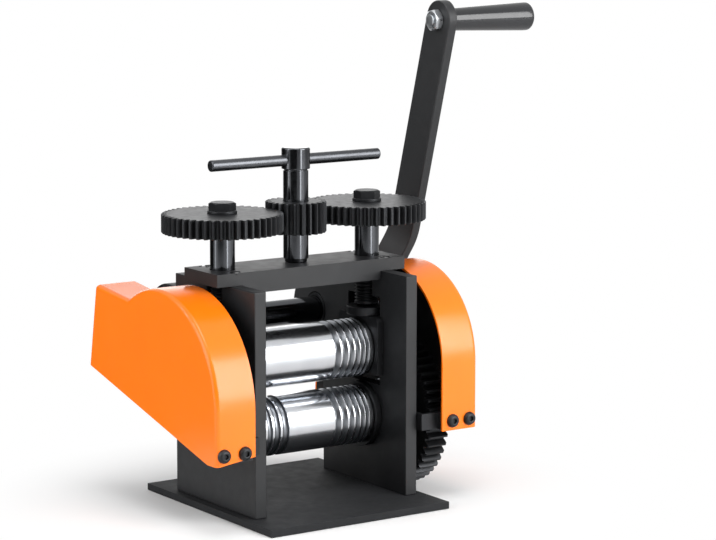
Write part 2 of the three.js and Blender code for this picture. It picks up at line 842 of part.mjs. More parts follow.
// Flat crank arm with a jog, drawn upright with the shaft's axis at the origin.
function crankArmGeometry() {
  const end = crankArmWidth / 2;
  const jogEnd = crankJogStart + crankJogLength;
  const top = crankArmLength + end + 1;
  const inner = crankArmInner;
  const outer = inner + crankJogOffset;
  const thick = crankArmThickness;
  const strip = outline([
    [inner, -end - 1],
    [inner + thick, -end - 1],
    [inner + thick, crankJogStart - 1],
    [outer + thick, jogEnd - 1],
    [outer + thick, top],
    [outer, top],
    [outer, jogEnd + 1],
    [inner, crankJogStart + 1],
  ]);
  const bent = extruded(strip, -end - 1, end + 1).rotateX(Math.PI / 2);
  const flat = new THREE.Shape();
  flat.absarc(0, 0, end, Math.PI, 2 * Math.PI, false);
  flat.absarc(0, crankArmLength, end, 0, Math.PI, false);
  const stadium = across(extruded(flat, inner - 1, outer + thick + 1));
  const hole = crankSquare / 2 + seatGap;
  const square = box(inner - 1, inner + thick + 1, -hole, hole, -hole, hole);
  const spindleAxis = new THREE.Vector2(0, crankArmLength);
  const spindleHole = round(spindleAxis, gripThreadRadius + seatGap, outer - 1, outer + thick + 1);
  return cut(common(bent, stadium), square, spindleHole);
}

function addCrank() {
  const crank = new THREE.Group();
  crank.position.set(0, crankAxle.x, crankAxle.y);
  mill.add(crank);
  const bore = pinionSeatRadius + seatGap;
  const left = driveGear(leftPinionTeeth, bore, -driveGearOuter, -driveGearInner);
  add("crank_pinion_left", across(left.rotateZ(leftPinionAngle)), blackSteel, crank);
  const right = driveGear(rightPinionTeeth, bore, driveGearInner, driveGearOuter);
  add("crank_pinion_right", across(right.rotateZ(rightPinionAngle)), blackSteel, crank);

  const arm = new THREE.Group();
  arm.rotation.x = crankLean;
  crank.add(arm);
  add("crank_shaft", crankShaftGeometry(), blackSteel, arm);
  add("crank_arm", crankArmGeometry(), blackPaint, arm);
  const armOuter = crankArmInner + crankArmThickness;
  const washerOuter = armOuter + crankWasherThickness;
  const hole = crankBoltDiameter / 2 + seatGap;
  add("crank_washer", across(tube(hole, crankWasherRadius, armOuter, washerOuter)), zincPlate, arm);
  const bolt = join(
    hexagon(crankBoltHeadWidth, washerOuter, washerOuter + crankBoltHeadThickness),
    bar(crankBoltDiameter / 2, spigotEnd - crankBoltLength + 1, washerOuter + 1, smallFacets),
  );
  add("crank_bolt", across(bolt), zincPlate, arm);
  addGrip(arm);
}

function addGrip(arm) {
  const inner = crankArmInner + crankJogOffset;
  const outer = inner + crankArmThickness;
  const grip = new THREE.Group();
  grip.position.set(0, 0, crankArmLength);
  arm.add(grip);
  const collar = outer + gripCollarThickness;
  const start = collar + seatGap;
  const end = start + gripLength;
  const spindleEnd = end - gripBlindEnd;
  const spindle = [
    [0, inner - gripNutThickness - 1],
    [gripThreadRadius, inner - gripNutThickness - 1],
    [gripThreadRadius, outer],
    [gripCollarRadius, outer],
    [gripCollarRadius, collar],
    [gripSpindleRadius, collar],
    [gripSpindleRadius, spindleEnd],
    [0, spindleEnd],
  ];
  add("grip_spindle", across(turned(spindle, shaftFacets)), brightSteel, grip);
  const nut = cut(
    hexagon(gripNutWidth, inner - gripNutThickness, inner),
    bar(gripThreadRadius + seatGap, inner - gripNutThickness - 1, inner + 1, smallFacets),
  );
  add("grip_nut", across(nut), zincPlate, grip);
  const bore = gripSpindleRadius + seatGap;
  const handle = [
    [bore, start],
    [gripInnerRadius - 0.6, start],
    [gripInnerRadius, start + 0.6],
    [gripOuterRadius, end - gripBlindEnd],
    [gripOuterRadius - 0.5, end - 1.6],
    [gripOuterRadius - 2.2, end],
    [0, end],
    [0, spindleEnd + seatGap],
    [bore, spindleEnd + seatGap],
    [bore, start],
  ];
  add("crank_grip", across(turned(handle, shaftFacets)), blackPlastic, grip);
}

// Idler gear and the stub that carries it

function addIdler() {
  const group = new THREE.Group();
  group.position.set(0, idlerAxle.x, idlerAxle.y);
  mill.add(group);
  const hubInner = plateOuter + seatGap;
  const bore = idlerStubRadius + seatGap;
  const wheel = driveGear(idlerTeeth, bore, driveGearInner, driveGearOuter).rotateZ(idlerAngle);
  const hub = tube(bore, idlerHubRadius, hubInner, driveGearInner + 1);
  const opened = cut(join(wheel, hub), bar(bore, hubInner - 1, driveGearOuter + 1));
  add("idler_gear", across(opened), blackSteel, group);
  const headInner = driveGearOuter + seatGap;
  const stub = [
    [0, plateInner],
    [idlerStubRadius - 1, plateInner],
    [idlerStubRadius - 1, plateOuter],
    [idlerStubRadius, plateOuter],
    [idlerStubRadius, headInner],
    [idlerHeadRadius, headInner],
    [idlerHeadRadius, headInner + idlerHeadThickness],
    [0, headInner + idlerHeadThickness],
  ];
  add("idler_stub", across(turned(stub, shaftFacets)), blackSteel, group);
}

// Screw-down

function adjusterGear(teeth, bore, bottom, top) {
  return gear(teeth, adjusterModule, adjusterBacklash, bore, bottom, top, true);
}

function addPressureScrew(side) {
  const group = new THREE.Group();
  group.position.set(side.sign * screwX, 0, 0);
  mill.add(group);
  const gearTop = adjusterGearHeight + adjusterGearWidth;
  const screw = [
    [0, padTop + seatGap],
    [pressureScrewRadius - 1, padTop + seatGap],
    [pressureScrewRadius, padTop + seatGap + 1],
    [pressureScrewRadius, adjusterGearHeight],
    [pressureScrewSeatRadius, adjusterGearHeight],
    [pressureScrewSeatRadius, gearTop - seatGap],
    [0, gearTop - seatGap],
  ];
  const tapped = bar(adjusterBoltRadius + seatGap, gearTop - adjusterBoltLength, gearTop + 1, smallFacets);
  add(`pressure_screw_${side.name}`, cut(turned(screw, shaftFacets), tapped), blackSteel, group);
  const axle = new THREE.Vector2(side.sign * screwX, 0);
  const turn = meshedAngle(adjusterTeeth, axle, centrePinionTeeth, 0, new THREE.Vector2());
  const wheel = adjusterGear(adjusterTeeth, pressureScrewSeatRadius + seatGap, adjusterGearHeight, gearTop);
  add(`adjusting_gear_${side.name}`, wheel.rotateZ(turn), blackSteel, group);
  const bolt = washerBolt(
    adjusterWasherRadius,
    adjusterWasherThickness,
    adjusterBoltHeadWidth,
    adjusterBoltHeadThickness,
  );
  add(`adjuster_bolt_${side.name}`, bolt.translate(0, 0, gearTop), blackSteel, group);
}

function addHandle() {
  const foot = topPlateTop + seatGap;
  const spindle = [
    [0, topPlateTop - handleStemLength],
    [handleStemRadius, topPlateTop - handleStemLength],
    [handleStemRadius, foot],
    [handleFootRadius, foot],
    [handleFootRadius, foot + handleFootHeight],
    [handleColumnRadius, foot + handleFootHeight],
    [handleColumnRadius, handleHubHeight],
    [handleHubRadius, handleHubHeight + handleBarChamfer],
    [handleHubRadius, handleTop - handleHubChamfer],
    [handleHubRadius - handleHubChamfer, handleTop],
    [0, handleTop],
  ];
  const crossHole = across(
    bar(handleBarRadius + seatGap, -handleHubRadius - 1, handleHubRadius + 1, smallFacets),
  ).translate(0, 0, handleBarHeight);
  add("handle_spindle", cut(turned(spindle, shaftFacets), crossHole), blackSteel);
  const top = centrePinionHeight + centrePinionWidth;
  const pinion = adjusterGear(centrePinionTeeth, handleColumnRadius + seatGap, centrePinionHeight, top);
  add("centre_pinion", pinion, blackSteel);
  const half = handleBarLength / 2;
  const rod = [
    [0, -half],
    [handleBarRadius - handleBarChamfer, -half],
    [handleBarRadius, -half + handleBarChamfer],
    [handleBarRadius, half - handleBarChamfer],
    [handleBarRadius - handleBarChamfer, half],
    [0, half],
  ];
  add("handle_bar", across(turned(rod, smallFacets)).translate(0, 0, handleBarHeight), blackSteel);
}

// Tooth angles that keep every pair in mesh
const leftPinionAngle = 0;
const rightPinionAngle = 0;
const upperGearAngle = meshedAngle(upperGearTeeth, upperAxle, leftPinionTeeth, leftPinionAngle, crankAxle);
const idlerAngle = meshedAngle(idlerTeeth, idlerAxle, rightPinionTeeth, rightPinionAngle, crankAxle);
const lowerGearAngle = meshedAngle(lowerGearTeeth, lowerAxle, idlerTeeth, idlerAngle, idlerAxle);

addFrame();
for (const side of sides) {
  addBushes(side);
  addBlock(side);
  addSprings(side);
  addPressureScrew(side);
}
addCover(sides[0], leftCover);
addCover(sides[1], rightCover);
addCoverScrews(sides[0], leftCover);
addCoverScrews(sides[1], rightCover);
addBracket(sides[0], leftCover);
addBracket(sides[1], rightCover);
addCrank();
addIdler();
addRoll("lower", lowerAxle, true, 1, lowerGearTeeth, lowerGearAngle);
addRoll("upper", upperAxle, false, -1, upperGearTeeth, upperGearAngle);
addHandle();

console.log(`least gap between the curls of a spring: ${springGap().toFixed(2)} mm`);

export default mill;
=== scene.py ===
import json
import math

import bmesh
import bpy
import numpy as np
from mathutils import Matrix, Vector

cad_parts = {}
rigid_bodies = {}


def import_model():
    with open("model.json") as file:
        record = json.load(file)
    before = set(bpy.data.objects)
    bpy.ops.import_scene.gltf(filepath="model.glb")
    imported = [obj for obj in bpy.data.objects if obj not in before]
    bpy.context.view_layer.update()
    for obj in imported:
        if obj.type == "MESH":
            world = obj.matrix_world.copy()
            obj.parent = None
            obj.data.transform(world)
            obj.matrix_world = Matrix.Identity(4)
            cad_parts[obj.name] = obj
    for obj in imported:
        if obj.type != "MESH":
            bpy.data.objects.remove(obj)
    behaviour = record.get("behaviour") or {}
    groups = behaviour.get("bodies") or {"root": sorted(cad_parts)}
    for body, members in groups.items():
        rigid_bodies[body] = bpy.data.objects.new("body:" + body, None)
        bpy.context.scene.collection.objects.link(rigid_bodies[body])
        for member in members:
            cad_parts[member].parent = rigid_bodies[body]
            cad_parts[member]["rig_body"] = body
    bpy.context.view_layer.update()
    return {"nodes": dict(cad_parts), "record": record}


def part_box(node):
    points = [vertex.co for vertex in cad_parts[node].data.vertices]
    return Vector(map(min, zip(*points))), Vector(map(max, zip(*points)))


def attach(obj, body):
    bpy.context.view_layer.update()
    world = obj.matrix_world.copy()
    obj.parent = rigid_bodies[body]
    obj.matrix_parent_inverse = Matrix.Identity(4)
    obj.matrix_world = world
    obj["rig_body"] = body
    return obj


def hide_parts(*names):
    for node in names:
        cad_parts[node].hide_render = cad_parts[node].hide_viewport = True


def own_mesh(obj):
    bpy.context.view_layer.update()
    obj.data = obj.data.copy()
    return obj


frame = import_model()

# Jewellers rolling mill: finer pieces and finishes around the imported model. Shapes are drawn in millimetres.

mm = 0.001
nodes = frame["nodes"]
print("frame loaded:", len(nodes), "nodes")


# Camera: a long lens from the front left, a little above the rolls

cameraView = {"place": (-0.74945, -1.15104, 0.33529), "lens": 137.23, "sensor": 36, "tilt": 82.606,
              "turn": -33.804, "shift": (0.0384, -0.1026), "clip": (0.05, 20)}

camera = bpy.data.objects.new("camera", bpy.data.cameras.new("camera"))
camera.location = cameraView["place"]
camera.rotation_euler = (math.radians(cameraView["tilt"]), 0, math.radians(cameraView["turn"]))
camera.data.sensor_width = cameraView["sensor"]
camera.data.lens = cameraView["lens"]
camera.data.shift_x, camera.data.shift_y = cameraView["shift"]
camera.data.clip_start, camera.data.clip_end = cameraView["clip"]
bpy.context.scene.collection.objects.link(camera)
bpy.context.scene.camera = camera
bpy.context.scene.view_settings.view_transform = "Standard"


# Materials

noiseSpan = {"From Min": 0.3, "From Max": 0.7}  # a noise hardly leaves these values


def linear(colour):
    # sRGB hex to linear light: a part up to 0.04045 over 12.92, a higher one (part + 0.055) / 1.055 to the power 2.4
    parts = [int(colour[start:start + 2], 16) / 255 for start in (1, 3, 5)]
    return tuple(part / 12.92 if part <= 0.04045 else ((part + 0.055) / 1.055) ** 2.4 for part in parts) + (1.0,)


def addNode(tree, kind, inputs=None, **settings):
    # A node with its own settings; an input is a plain value or another node's output
    node = tree.nodes.new(kind)
    for name, value in settings.items():
        setattr(node, name, value)
    for socket, value in (inputs or {}).items():
        if isinstance(value, bpy.types.NodeSocket):
            tree.links.new(value, node.inputs[socket])
        else:
            node.inputs[socket].default_value = value
    return node


def newMaterial(name):
    # An empty node material, its tree, and the Object coordinates in which patterns are laid out
    material = bpy.data.materials.new(name)
    material.use_nodes = True
    tree = material.node_tree
    tree.nodes.clear()
    place = addNode(tree, "ShaderNodeTexCoord").outputs["Object"]
    return material, tree, place


def coatedMetal(name, look):
    # A coat or skin with cloudy colour, patches of sheen and a fine relief. The scale of each noise is one over its
    # grain size; the finest grain is drawn two to three times its real width, so that it shows.
    material, tree, place = newMaterial(name)
    cloud = addNode(tree, "ShaderNodeTexNoise", {"Vector": place, "Scale": 1 / (look["cloud"] * mm), "Detail": 4.0,
                                                 "Roughness": 0.55})
    sheen = addNode(tree, "ShaderNodeTexNoise", {"Vector": place, "Scale": 1 / (look["patch"] * mm), "Detail": 3.0})
    grain = addNode(tree, "ShaderNodeTexNoise", {"Vector": place, "Scale": 1 / (look["grain"] * mm), "Detail": 2.0})
    colour = addNode(tree, "ShaderNodeMix", {"Factor": cloud.outputs["Fac"], "A": linear(look["dark"]),
                                             "B": linear(look["light"])}, data_type="RGBA")
    rough = addNode(tree, "ShaderNodeMapRange", {"Value": sheen.outputs["Fac"], "To Min": look["rough"][0],
                                                 "To Max": look["rough"][1], **noiseSpan})
    relief = addNode(tree, "ShaderNodeBump", {"Height": grain.outputs["Fac"], "Strength": look["relief"],
                                              "Distance": look["depth"] * mm})
    shader = addNode(tree, "ShaderNodeBsdfPrincipled", {
        "Base Color": colour.outputs["Result"], "Roughness": rough.outputs["Result"], "Metallic": look["metallic"],
        "IOR": look.get("ior", 1.5), "Specular IOR Level": look.get("specular", 0.5),
        "Normal": relief.outputs["Normal"]})
    addNode(tree, "ShaderNodeOutputMaterial", {"Surface": shader.outputs["BSDF"]})
    return material


# Stoved satin black paint on steel: dull black, with a soft grey sheen on whatever faces the light.
# Its real orange peel is about 0.4 mm wide and is drawn 1.2 mm wide.
satinBlackPaint = coatedMetal("satinBlackPaint", {
    "dark": "#18191b", "light": "#1f2022", "cloud": 22, "patch": 6, "grain": 1.2, "rough": (0.46, 0.54),
    "relief": 0.1, "depth": 0.03, "metallic": 0.0, "specular": 0.4})

# The same paint on the base, dulled by filings and wiping: it hardly mirrors the light behind the mill.
dullBlackPaint = coatedMetal("dullBlackPaint", {
    "dark": "#1a1b1d", "light": "#222325", "cloud": 22, "patch": 6, "grain": 1.2, "rough": (0.7, 0.8),
    "relief": 0.1, "depth": 0.03, "metallic": 0.0, "specular": 0.25})

# Orange powder coat on bent sheet: full even colour, with a slightly waxy skin that shows soft highlights on bends.
orangePowderCoat = coatedMetal("orangePowderCoat", {
    "dark": "#f8750b", "light": "#fd7c10", "cloud": 30, "patch": 9, "grain": 1.6, "rough": (0.22, 0.27),
    "relief": 0.06, "depth": 0.03, "metallic": 0.0, "specular": 0.45})

# Black oxide on milled steel, as on the gears: near black, even and hardly shining.
blackOxideSteel = coatedMetal("blackOxideSteel", {
    "dark": "#2a2b2d", "light": "#353638", "cloud": 9, "patch": 3, "grain": 0.8, "rough": (0.4, 0.48),
    "relief": 0.05, "depth": 0.02, "metallic": 0.85})

# Black oxide on turned and polished bar: dark, with long bright streaks where a lamp stands beside it.
turnedBlackSteel = coatedMetal("turnedBlackSteel", {
    "dark": "#4a4b4e", "light": "#55575a", "cloud": 12, "patch": 4, "grain": 0.8, "rough": (0.11, 0.15),
    "relief": 0.02, "depth": 0.02, "metallic": 1.0})

# The same bar where hands rub the oxide: greyer and a little duller.
rubbedBlackSteel = coatedMetal("rubbedBlackSteel", {
    "dark": "#48494c", "light": "#585a5d", "cloud": 12, "patch": 4, "grain": 0.8, "rough": (0.26, 0.34),
    "relief": 0.03, "depth": 0.02, "metallic": 1.0})

# Bright zinc plate on small hardware: pale, a little cloudy.
brightZincPlate = coatedMetal("brightZincPlate", {
    "dark": "#b9bdc1", "light": "#d4d7da", "cloud": 4, "patch": 2.5, "grain": 0.6, "rough": (0.26, 0.38),
    "relief": 0.12, "depth": 0.02, "metallic": 1.0})

# Turned mild steel: grey white, softer than the rolls.
turnedSteel = coatedMetal("turnedSteel", {
    "dark": "#a9adb1", "light": "#bfc3c6", "cloud": 5, "patch": 2, "grain": 0.5, "rough": (0.28, 0.36),
    "relief": 0.12, "depth": 0.02, "metallic": 1.0})

# Bearing bronze: brown gold, oily smooth.
bearingBronze = coatedMetal("bearingBronze", {
    "dark": "#9c7641", "light": "#b48c54", "cloud": 5, "patch": 2, "grain": 0.6, "rough": (0.3, 0.42),
    "relief": 0.12, "depth": 0.02, "metallic": 1.0})

# Moulded black plastic of the grip, worn smooth by hands: black, with one long soft highlight along it.
mouldedBlackPlastic = coatedMetal("mouldedBlackPlastic", {
    "dark": "#1b1c1e", "light": "#222326", "cloud": 12, "patch": 4, "grain": 0.7, "rough": (0.12, 0.17),
    "relief": 0.05, "depth": 0.03, "metallic": 0.0, "ior": 1.49})


def groundSteelRoll(look):
    # Hardened, ground and polished roll steel: a cool mirror, drawn out a little by grinding lines that run round it.
    # The lines are really hundredths of a millimetre apart and are drawn half a millimetre apart, so that they show:
    # a noise of X alone, its scale one over their distance.
    # Grooves and ends, where the attribute "turned" is 1, keep the duller and darker skin that turning leaves.
    material, tree, place = newMaterial("groundSteelRoll")
    split = addNode(tree, "ShaderNodeSeparateXYZ", {"Vector": place})
    lines = addNode(tree, "ShaderNodeTexNoise", {"W": split.outputs["X"], "Scale": 1 / (look["line"] * mm),
                                                 "Detail": 3.0}, noise_dimensions="1D")
    cloud = addNode(tree, "ShaderNodeTexNoise", {"Vector": place, "Scale": 1 / (look["cloud"] * mm), "Detail": 2.0})
    cut = addNode(tree, "ShaderNodeAttribute", attribute_name="turned").outputs["Fac"]
    ground = addNode(tree, "ShaderNodeMix", {"Factor": cloud.outputs["Fac"], "A": linear(look["dark"]),
                                             "B": linear(look["light"])}, data_type="RGBA")
    colour = addNode(tree, "ShaderNodeMix", {"Factor": cut, "A": ground.outputs["Result"],
                                             "B": linear(look["turned"])}, data_type="RGBA")
    groundRough = addNode(tree, "ShaderNodeMapRange", {"Value": lines.outputs["Fac"], "To Min": look["rough"][0],
                                                       "To Max": look["rough"][1], **noiseSpan})
    rough = addNode(tree, "ShaderNodeMapRange", {"Value": cut, "To Min": groundRough.outputs["Result"],
                                                 "To Max": look["turnedRough"]})
    relief = addNode(tree, "ShaderNodeBump", {"Height": lines.outputs["Fac"], "Strength": look["relief"],
                                              "Distance": look["depth"] * mm})
    shader = addNode(tree, "ShaderNodeBsdfPrincipled", {
        "Base Color": colour.outputs["Result"], "Roughness": rough.outputs["Result"], "Metallic": 1.0,
        "Normal": relief.outputs["Normal"]})
    addNode(tree, "ShaderNodeOutputMaterial", {"Surface": shader.outputs["BSDF"]})
    return material


finishes = {
    "black_paint": satinBlackPaint,
    "orange_paint": orangePowderCoat,
    "black_steel": blackOxideSteel,
    "polished_steel": groundSteelRoll({
        "dark": "#b9bcc1", "light": "#cfd1d4", "turned": "#7c7f84", "line": 0.5, "cloud": 14, "rough": (0.14, 0.24),
        "turnedRough": 0.34, "relief": 0.08, "depth": 0.02}),
    "bright_steel": turnedSteel,
    "zinc": brightZincPlate,
    "bronze": bearingBronze,
    "black_plastic": mouldedBlackPlastic,
}
slots = {row["node"]: row["material_slot"] for row in frame["record"]["subparts"]}
# Pads and crank bushes take the black steel finish instead of their slot's
for node in ("thrust_pad_left", "thrust_pad_right", "crank_bush_left", "crank_bush_right"):
    slots[node] = "black_steel"
# Pieces that differ from the other ones of their slot
ownFinish = {"handle_spindle": turnedBlackSteel, "pressure_screw_left": turnedBlackSteel,
             "pressure_screw_right": turnedBlackSteel, "crank_shaft": turnedBlackSteel,
             "handle_bar": rubbedBlackSteel, "base_plate": dullBlackPaint}
# A second finish on part of a piece: black inside the orange covers, which is painted shade, and a darker, duller oxide
# on the threads, partly their own finish and partly painted shade between the plates
shadeAndThreadLining = {"gear_cover_left": satinBlackPaint, "gear_cover_right": satinBlackPaint,
          "pressure_screw_left": blackOxideSteel, "pressure_screw_right": blackOxideSteel}
print("materials ready:", len(finishes))


# Shapes: every surface is a grid of points, rows by columns, computed as whole arrays

def softened(points, size, steps=4, closed=False):
    # Each corner becomes (1-s)^2 start + 2s(1-s) corner + s^2 end, for s from 0 to 1. Start and end lie on its two
    # sides, as far away as size says, but at most 0.45 of the shorter side.
    points = np.asarray(points, float)
    towardsLast, towardsNext = np.roll(points, 1, 0) - points, np.roll(points, -1, 0) - points
    lastLength = np.linalg.norm(towardsLast, axis=1, keepdims=True)
    nextLength = np.linalg.norm(towardsNext, axis=1, keepdims=True)
    cut = np.minimum(np.reshape(size, (-1, 1)), 0.45 * np.minimum(lastLength, nextLength))
    start, end = points + towardsLast / lastLength * cut, points + towardsNext / nextLength * cut
    s = np.linspace(0, 1, steps + 1)[None, :, None]
    curve = (1 - s) ** 2 * start[:, None] + 2 * s * (1 - s) * points[:, None] + s ** 2 * end[:, None]
    if closed:
        return curve.reshape(-1, 2)
    return np.concatenate([points[:1], curve[1:-1].reshape(-1, 2), points[-1:]])


def turned(profile, steps=96):
    # Profile of radius r and height h carried round the axis: (r cos a, r sin a, h)
    angle = np.linspace(0, 2 * np.pi, steps, endpoint=False)[:, None]
    radius, height = np.asarray(profile, float).T[:, None, :]
    return np.stack([radius * np.cos(angle), radius * np.sin(angle), height + 0 * angle], -1)


def rings(angle, radii, heights):
    # One column (r cos a, r sin a, h) for each ring; a ring's r and h are numbers or arrays over the angle a
    columns = [np.stack([radius * np.cos(angle), radius * np.sin(angle), height + 0 * angle], -1)
               for radius, height in zip(radii, heights)]
    return np.stack(columns, 1)


def across(surface, axle=(0, 0)):
    # What is drawn about its own height axis is laid across the mill: (x, y, h) becomes (h, x, y) on the axle
    return np.stack([surface[..., 2], surface[..., 0] + axle[0], surface[..., 1] + axle[1]], -1)


def mirrored(surface, sign):
    # X times the side's sign
    return surface * np.array([sign, 1, 1])


def gridPart(surface, rowsClosed=True, columnsClosed=False):
    # Point (i, j) has number i times columns plus j; a quad joins it to the next row and the next column
    rows, columns = surface.shape[:2]
    i = np.arange(rows if rowsClosed else rows - 1)[:, None]
    j = np.arange(columns if columnsClosed else columns - 1)[None, :]
    iNext, jNext = (i + 1) % rows, (j + 1) % columns
    quads = np.stack([i * columns + j, iNext * columns + j, iNext * columns + jNext, i * columns + jNext], -1)
    return surface.reshape(-1, 3), quads.reshape(-1, 4).tolist()


def pieceName(node):
    # base_plate becomes basePlate
    first, *rest = node.split("_")
    return first + "".join(word.capitalize() for word in rest)


def addPiece(node, parts, sharpest=50, shadeAndThreadFaces=None):
    # The parts of one piece in one mesh, in metres: each part's face numbers go up by the points before it.
    # Faces whose number is in the given set get the second finish, the lining that paints shade, instead of the piece's
    # own finish.
    points = np.concatenate([own for own, _ in parts]) * mm
    starts = np.cumsum([0] + [len(own) for own, _ in parts[:-1]])
    faces = [[int(start) + corner for corner in face] for start, (_, own) in zip(starts, parts) for face in own]
    mesh = bpy.data.meshes.new(pieceName(node))
    mesh.from_pydata(points.tolist(), [], faces)
    if shadeAndThreadFaces:
        mesh.polygons.foreach_set("material_index", [int(number in shadeAndThreadFaces) for number in range(len(faces))])
    shape = bmesh.new()
    shape.from_mesh(mesh)
    bmesh.ops.remove_doubles(shape, verts=shape.verts, dist=0.002 * mm)
    bmesh.ops.recalc_face_normals(shape, faces=shape.faces)
    shape.to_mesh(mesh)
    shape.free()
    return settle(node, mesh, sharpest=sharpest)


brokenEdge = {"segments": 2, "steeperThan": 38, "flatBelow": 0.5}  # angles between faces, in degrees


def settle(node, mesh, bevel=None, sharpest=50):
    # The mesh gets its finish, stands for the node and moves as the node does. Its edges are broken by a bevel in mm,
    # or else they stay sharp where the faces meet at more than sharpest degrees.
    mesh.shade_smooth()
    if not bevel:
        mesh.set_sharp_from_angle(angle=math.radians(sharpest))
    slot = slots[node]
    mesh.materials.append(ownFinish.get(node, finishes[slot]))
    # the second finish: painted shade on the inside of the covers, and on the threads their darker oxide, which also
    # paints shade
    if node in shadeAndThreadLining:
        mesh.materials.append(shadeAndThreadLining[node])
    piece = bpy.data.objects.new(pieceName(node), mesh)
    bpy.context.scene.collection.objects.link(piece)
    if bevel:
        rounding = piece.modifiers.new("rounding", "BEVEL")
        rounding.width = bevel * mm
        rounding.segments = brokenEdge["segments"]
        rounding.limit_method = "ANGLE"
        rounding.angle_limit = math.radians(brokenEdge["steeperThan"])
    even = piece.modifiers.new("even", "WEIGHTED_NORMAL")
    even.keep_sharp = True
    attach(piece, nodes[node]["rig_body"])
    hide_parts(node)
    return piece


def roundedCopy(node, bevel):
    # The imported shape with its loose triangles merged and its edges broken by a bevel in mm
    mesh = bpy.data.meshes.new(pieceName(node))
    shape = bmesh.new()
    shape.from_mesh(nodes[node].data)
    bmesh.ops.remove_doubles(shape, verts=shape.verts, dist=0.001 * mm)
    bmesh.ops.dissolve_limit(shape, angle_limit=math.radians(brokenEdge["flatBelow"]), verts=shape.verts,
                             edges=shape.edges)
    shape.to_mesh(mesh)
    shape.free()
    settle(node, mesh, bevel)


def reach(node, axis):
    # Lowest and highest value of a node along an axis, in mm
    low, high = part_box(node)
    return low[axis] / mm, high[axis] / mm


def outwardReach(node):
    # Nearest and furthest distance of a node from the mill's middle, along X, in mm
    return sorted(abs(x) for x in reach(node, 0))


def middle(node, axis):
    # Halfway between a node's lowest and highest value, in mm
    return sum(reach(node, axis)) / 2


softEdge = {"ring": 0.25, "small": 0.3, "shaft": 0.4}  # how far turned edges are rounded
sides = (("left", -1), ("right", 1))
crankAxle = (middle("crank_bush_left", 1), middle("crank_bush_left", 2))
idlerAxle = (middle("idler_stub", 1), middle("idler_stub", 2))
upperAxle = (0.0, middle("thrust_ring_left", 2))
lowerAxle = (0.0, middle("lower_bush_left", 2))


# Frame: plates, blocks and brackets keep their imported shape, with broken edges

plateEdges = {"base_plate": 0.5, "top_plate": 0.6, "side_plate_left": 0.6, "side_plate_right": 0.6,
              "upper_block_left": 0.5, "upper_block_right": 0.5, "cover_bracket_left": 0.3,
              "cover_bracket_right": 0.3}

for node, edge in plateEdges.items():
    roundedCopy(node, edge)
print("plates, blocks and brackets ready")


# Countersunk and button head screws, each with a hexagon socket

sunkScrew = {"head": 3.9, "edge": 0.15, "shank": 2.0, "depth": 2.0, "length": 10, "socket": 2.5, "socketDepth": 1.3}
buttonScrew = {"head": 3.5, "flat": 0.52, "height": 2.4, "domeStart": 0.15, "domeRows": 7, "shank": 2.0,
               "length": 5.5, "socket": 2.5, "socketDepth": 1.3}
socketEdge = {"width": 0.25, "depth": 0.12}
aroundScrew = np.linspace(0, 2 * np.pi, 48, endpoint=False)


def hexagonRadius(width, angle):
    # Distance to a hexagon's side: half its width over the cosine of the angle to the nearest flat
    return width / 2 / np.cos((angle + np.pi / 6) % (np.pi / 3) - np.pi / 6)


def screwSurface(screw, profile, top):
    # Rings from the socket's floor up to the head's top, then the profile of radius and height, closed by the shank
    hexagon = hexagonRadius(screw["socket"], aroundScrew)
    floor = top - screw["socketDepth"]
    outside = profile + [(screw["shank"], -screw["length"]), (0, -screw["length"])]
    radii = [0, hexagon, hexagon, hexagon + socketEdge["width"]] + [radius for radius, _ in outside]
    heights = [floor, floor, top - socketEdge["depth"], top] + [height for _, height in outside]
    return rings(aroundScrew, radii, heights)


def sunkSurface():
    # A flat head with its top at height 0, and its cone down to the shank
    head, edge = sunkScrew["head"], sunkScrew["edge"]
    return screwSurface(sunkScrew, [(head - edge, 0), (head, -edge), (sunkScrew["shank"], -sunkScrew["depth"])], 0)


def buttonSurface():
    # A dome over height 0: radius head (flat + (1 - flat) sin a), height cos a times the head's height, where a goes
    # from domeStart of a quarter turn to the whole of it
    head, flat, height = buttonScrew["head"], buttonScrew["flat"], buttonScrew["height"]
    turn = np.linspace(buttonScrew["domeStart"], 1, buttonScrew["domeRows"]) * np.pi / 2
    dome = np.stack([head * (flat + (1 - flat) * np.sin(turn)), height * np.cos(turn)], 1)
    return screwSurface(buttonScrew, dome.tolist() + [(buttonScrew["shank"], 0)], height)


for index in range(1, 5):
    for node, upright in ((f"base_screw_{index}", -1), (f"top_screw_{index}", 1)):
        low, high = reach(node, 2)
        place = (middle(node, 0), middle(node, 1), high if upright > 0 else low)
        addPiece(node, [gridPart(sunkSurface() * np.array([1, upright, upright]) + place)])

for side, _ in sides:
    for index in (1, 2):
        node = f"cover_screw_{side}_{index}"
        surface = buttonSurface()
        # it points forwards: height runs against Y
        front = reach(node, 1)[0] + buttonScrew["height"]
        placed = np.stack([surface[..., 0] + middle(node, 0), front - surface[..., 2],
                           surface[..., 1] + middle(node, 2)], -1)
        addPiece(node, [gridPart(placed)])
print("screws ready")


# Bushes, thrust rings and pads

rollBush = {"bore": 8.15, "flange": 17.0, "flangeFace": 41.7, "sleeve": 10.4}
crankBush = {"bore": 7.0, "sleeve": 8.7, "flange": 11.5, "flangeThickness": 1.7}
thrustRing = {"bore": 8.3, "radius": 10}
thrustPad = {"radius": 10.5, "edge": 0.5}


def addRing(node, profile, axle, sign):
    # A closed profile of radius and distance from the middle, turned about the axle on the side that sign gives
    surface = across(turned(softened(profile, softEdge["ring"], closed=True)), axle)
    addPiece(node, [gridPart(mirrored(surface, sign), columnsClosed=True)])


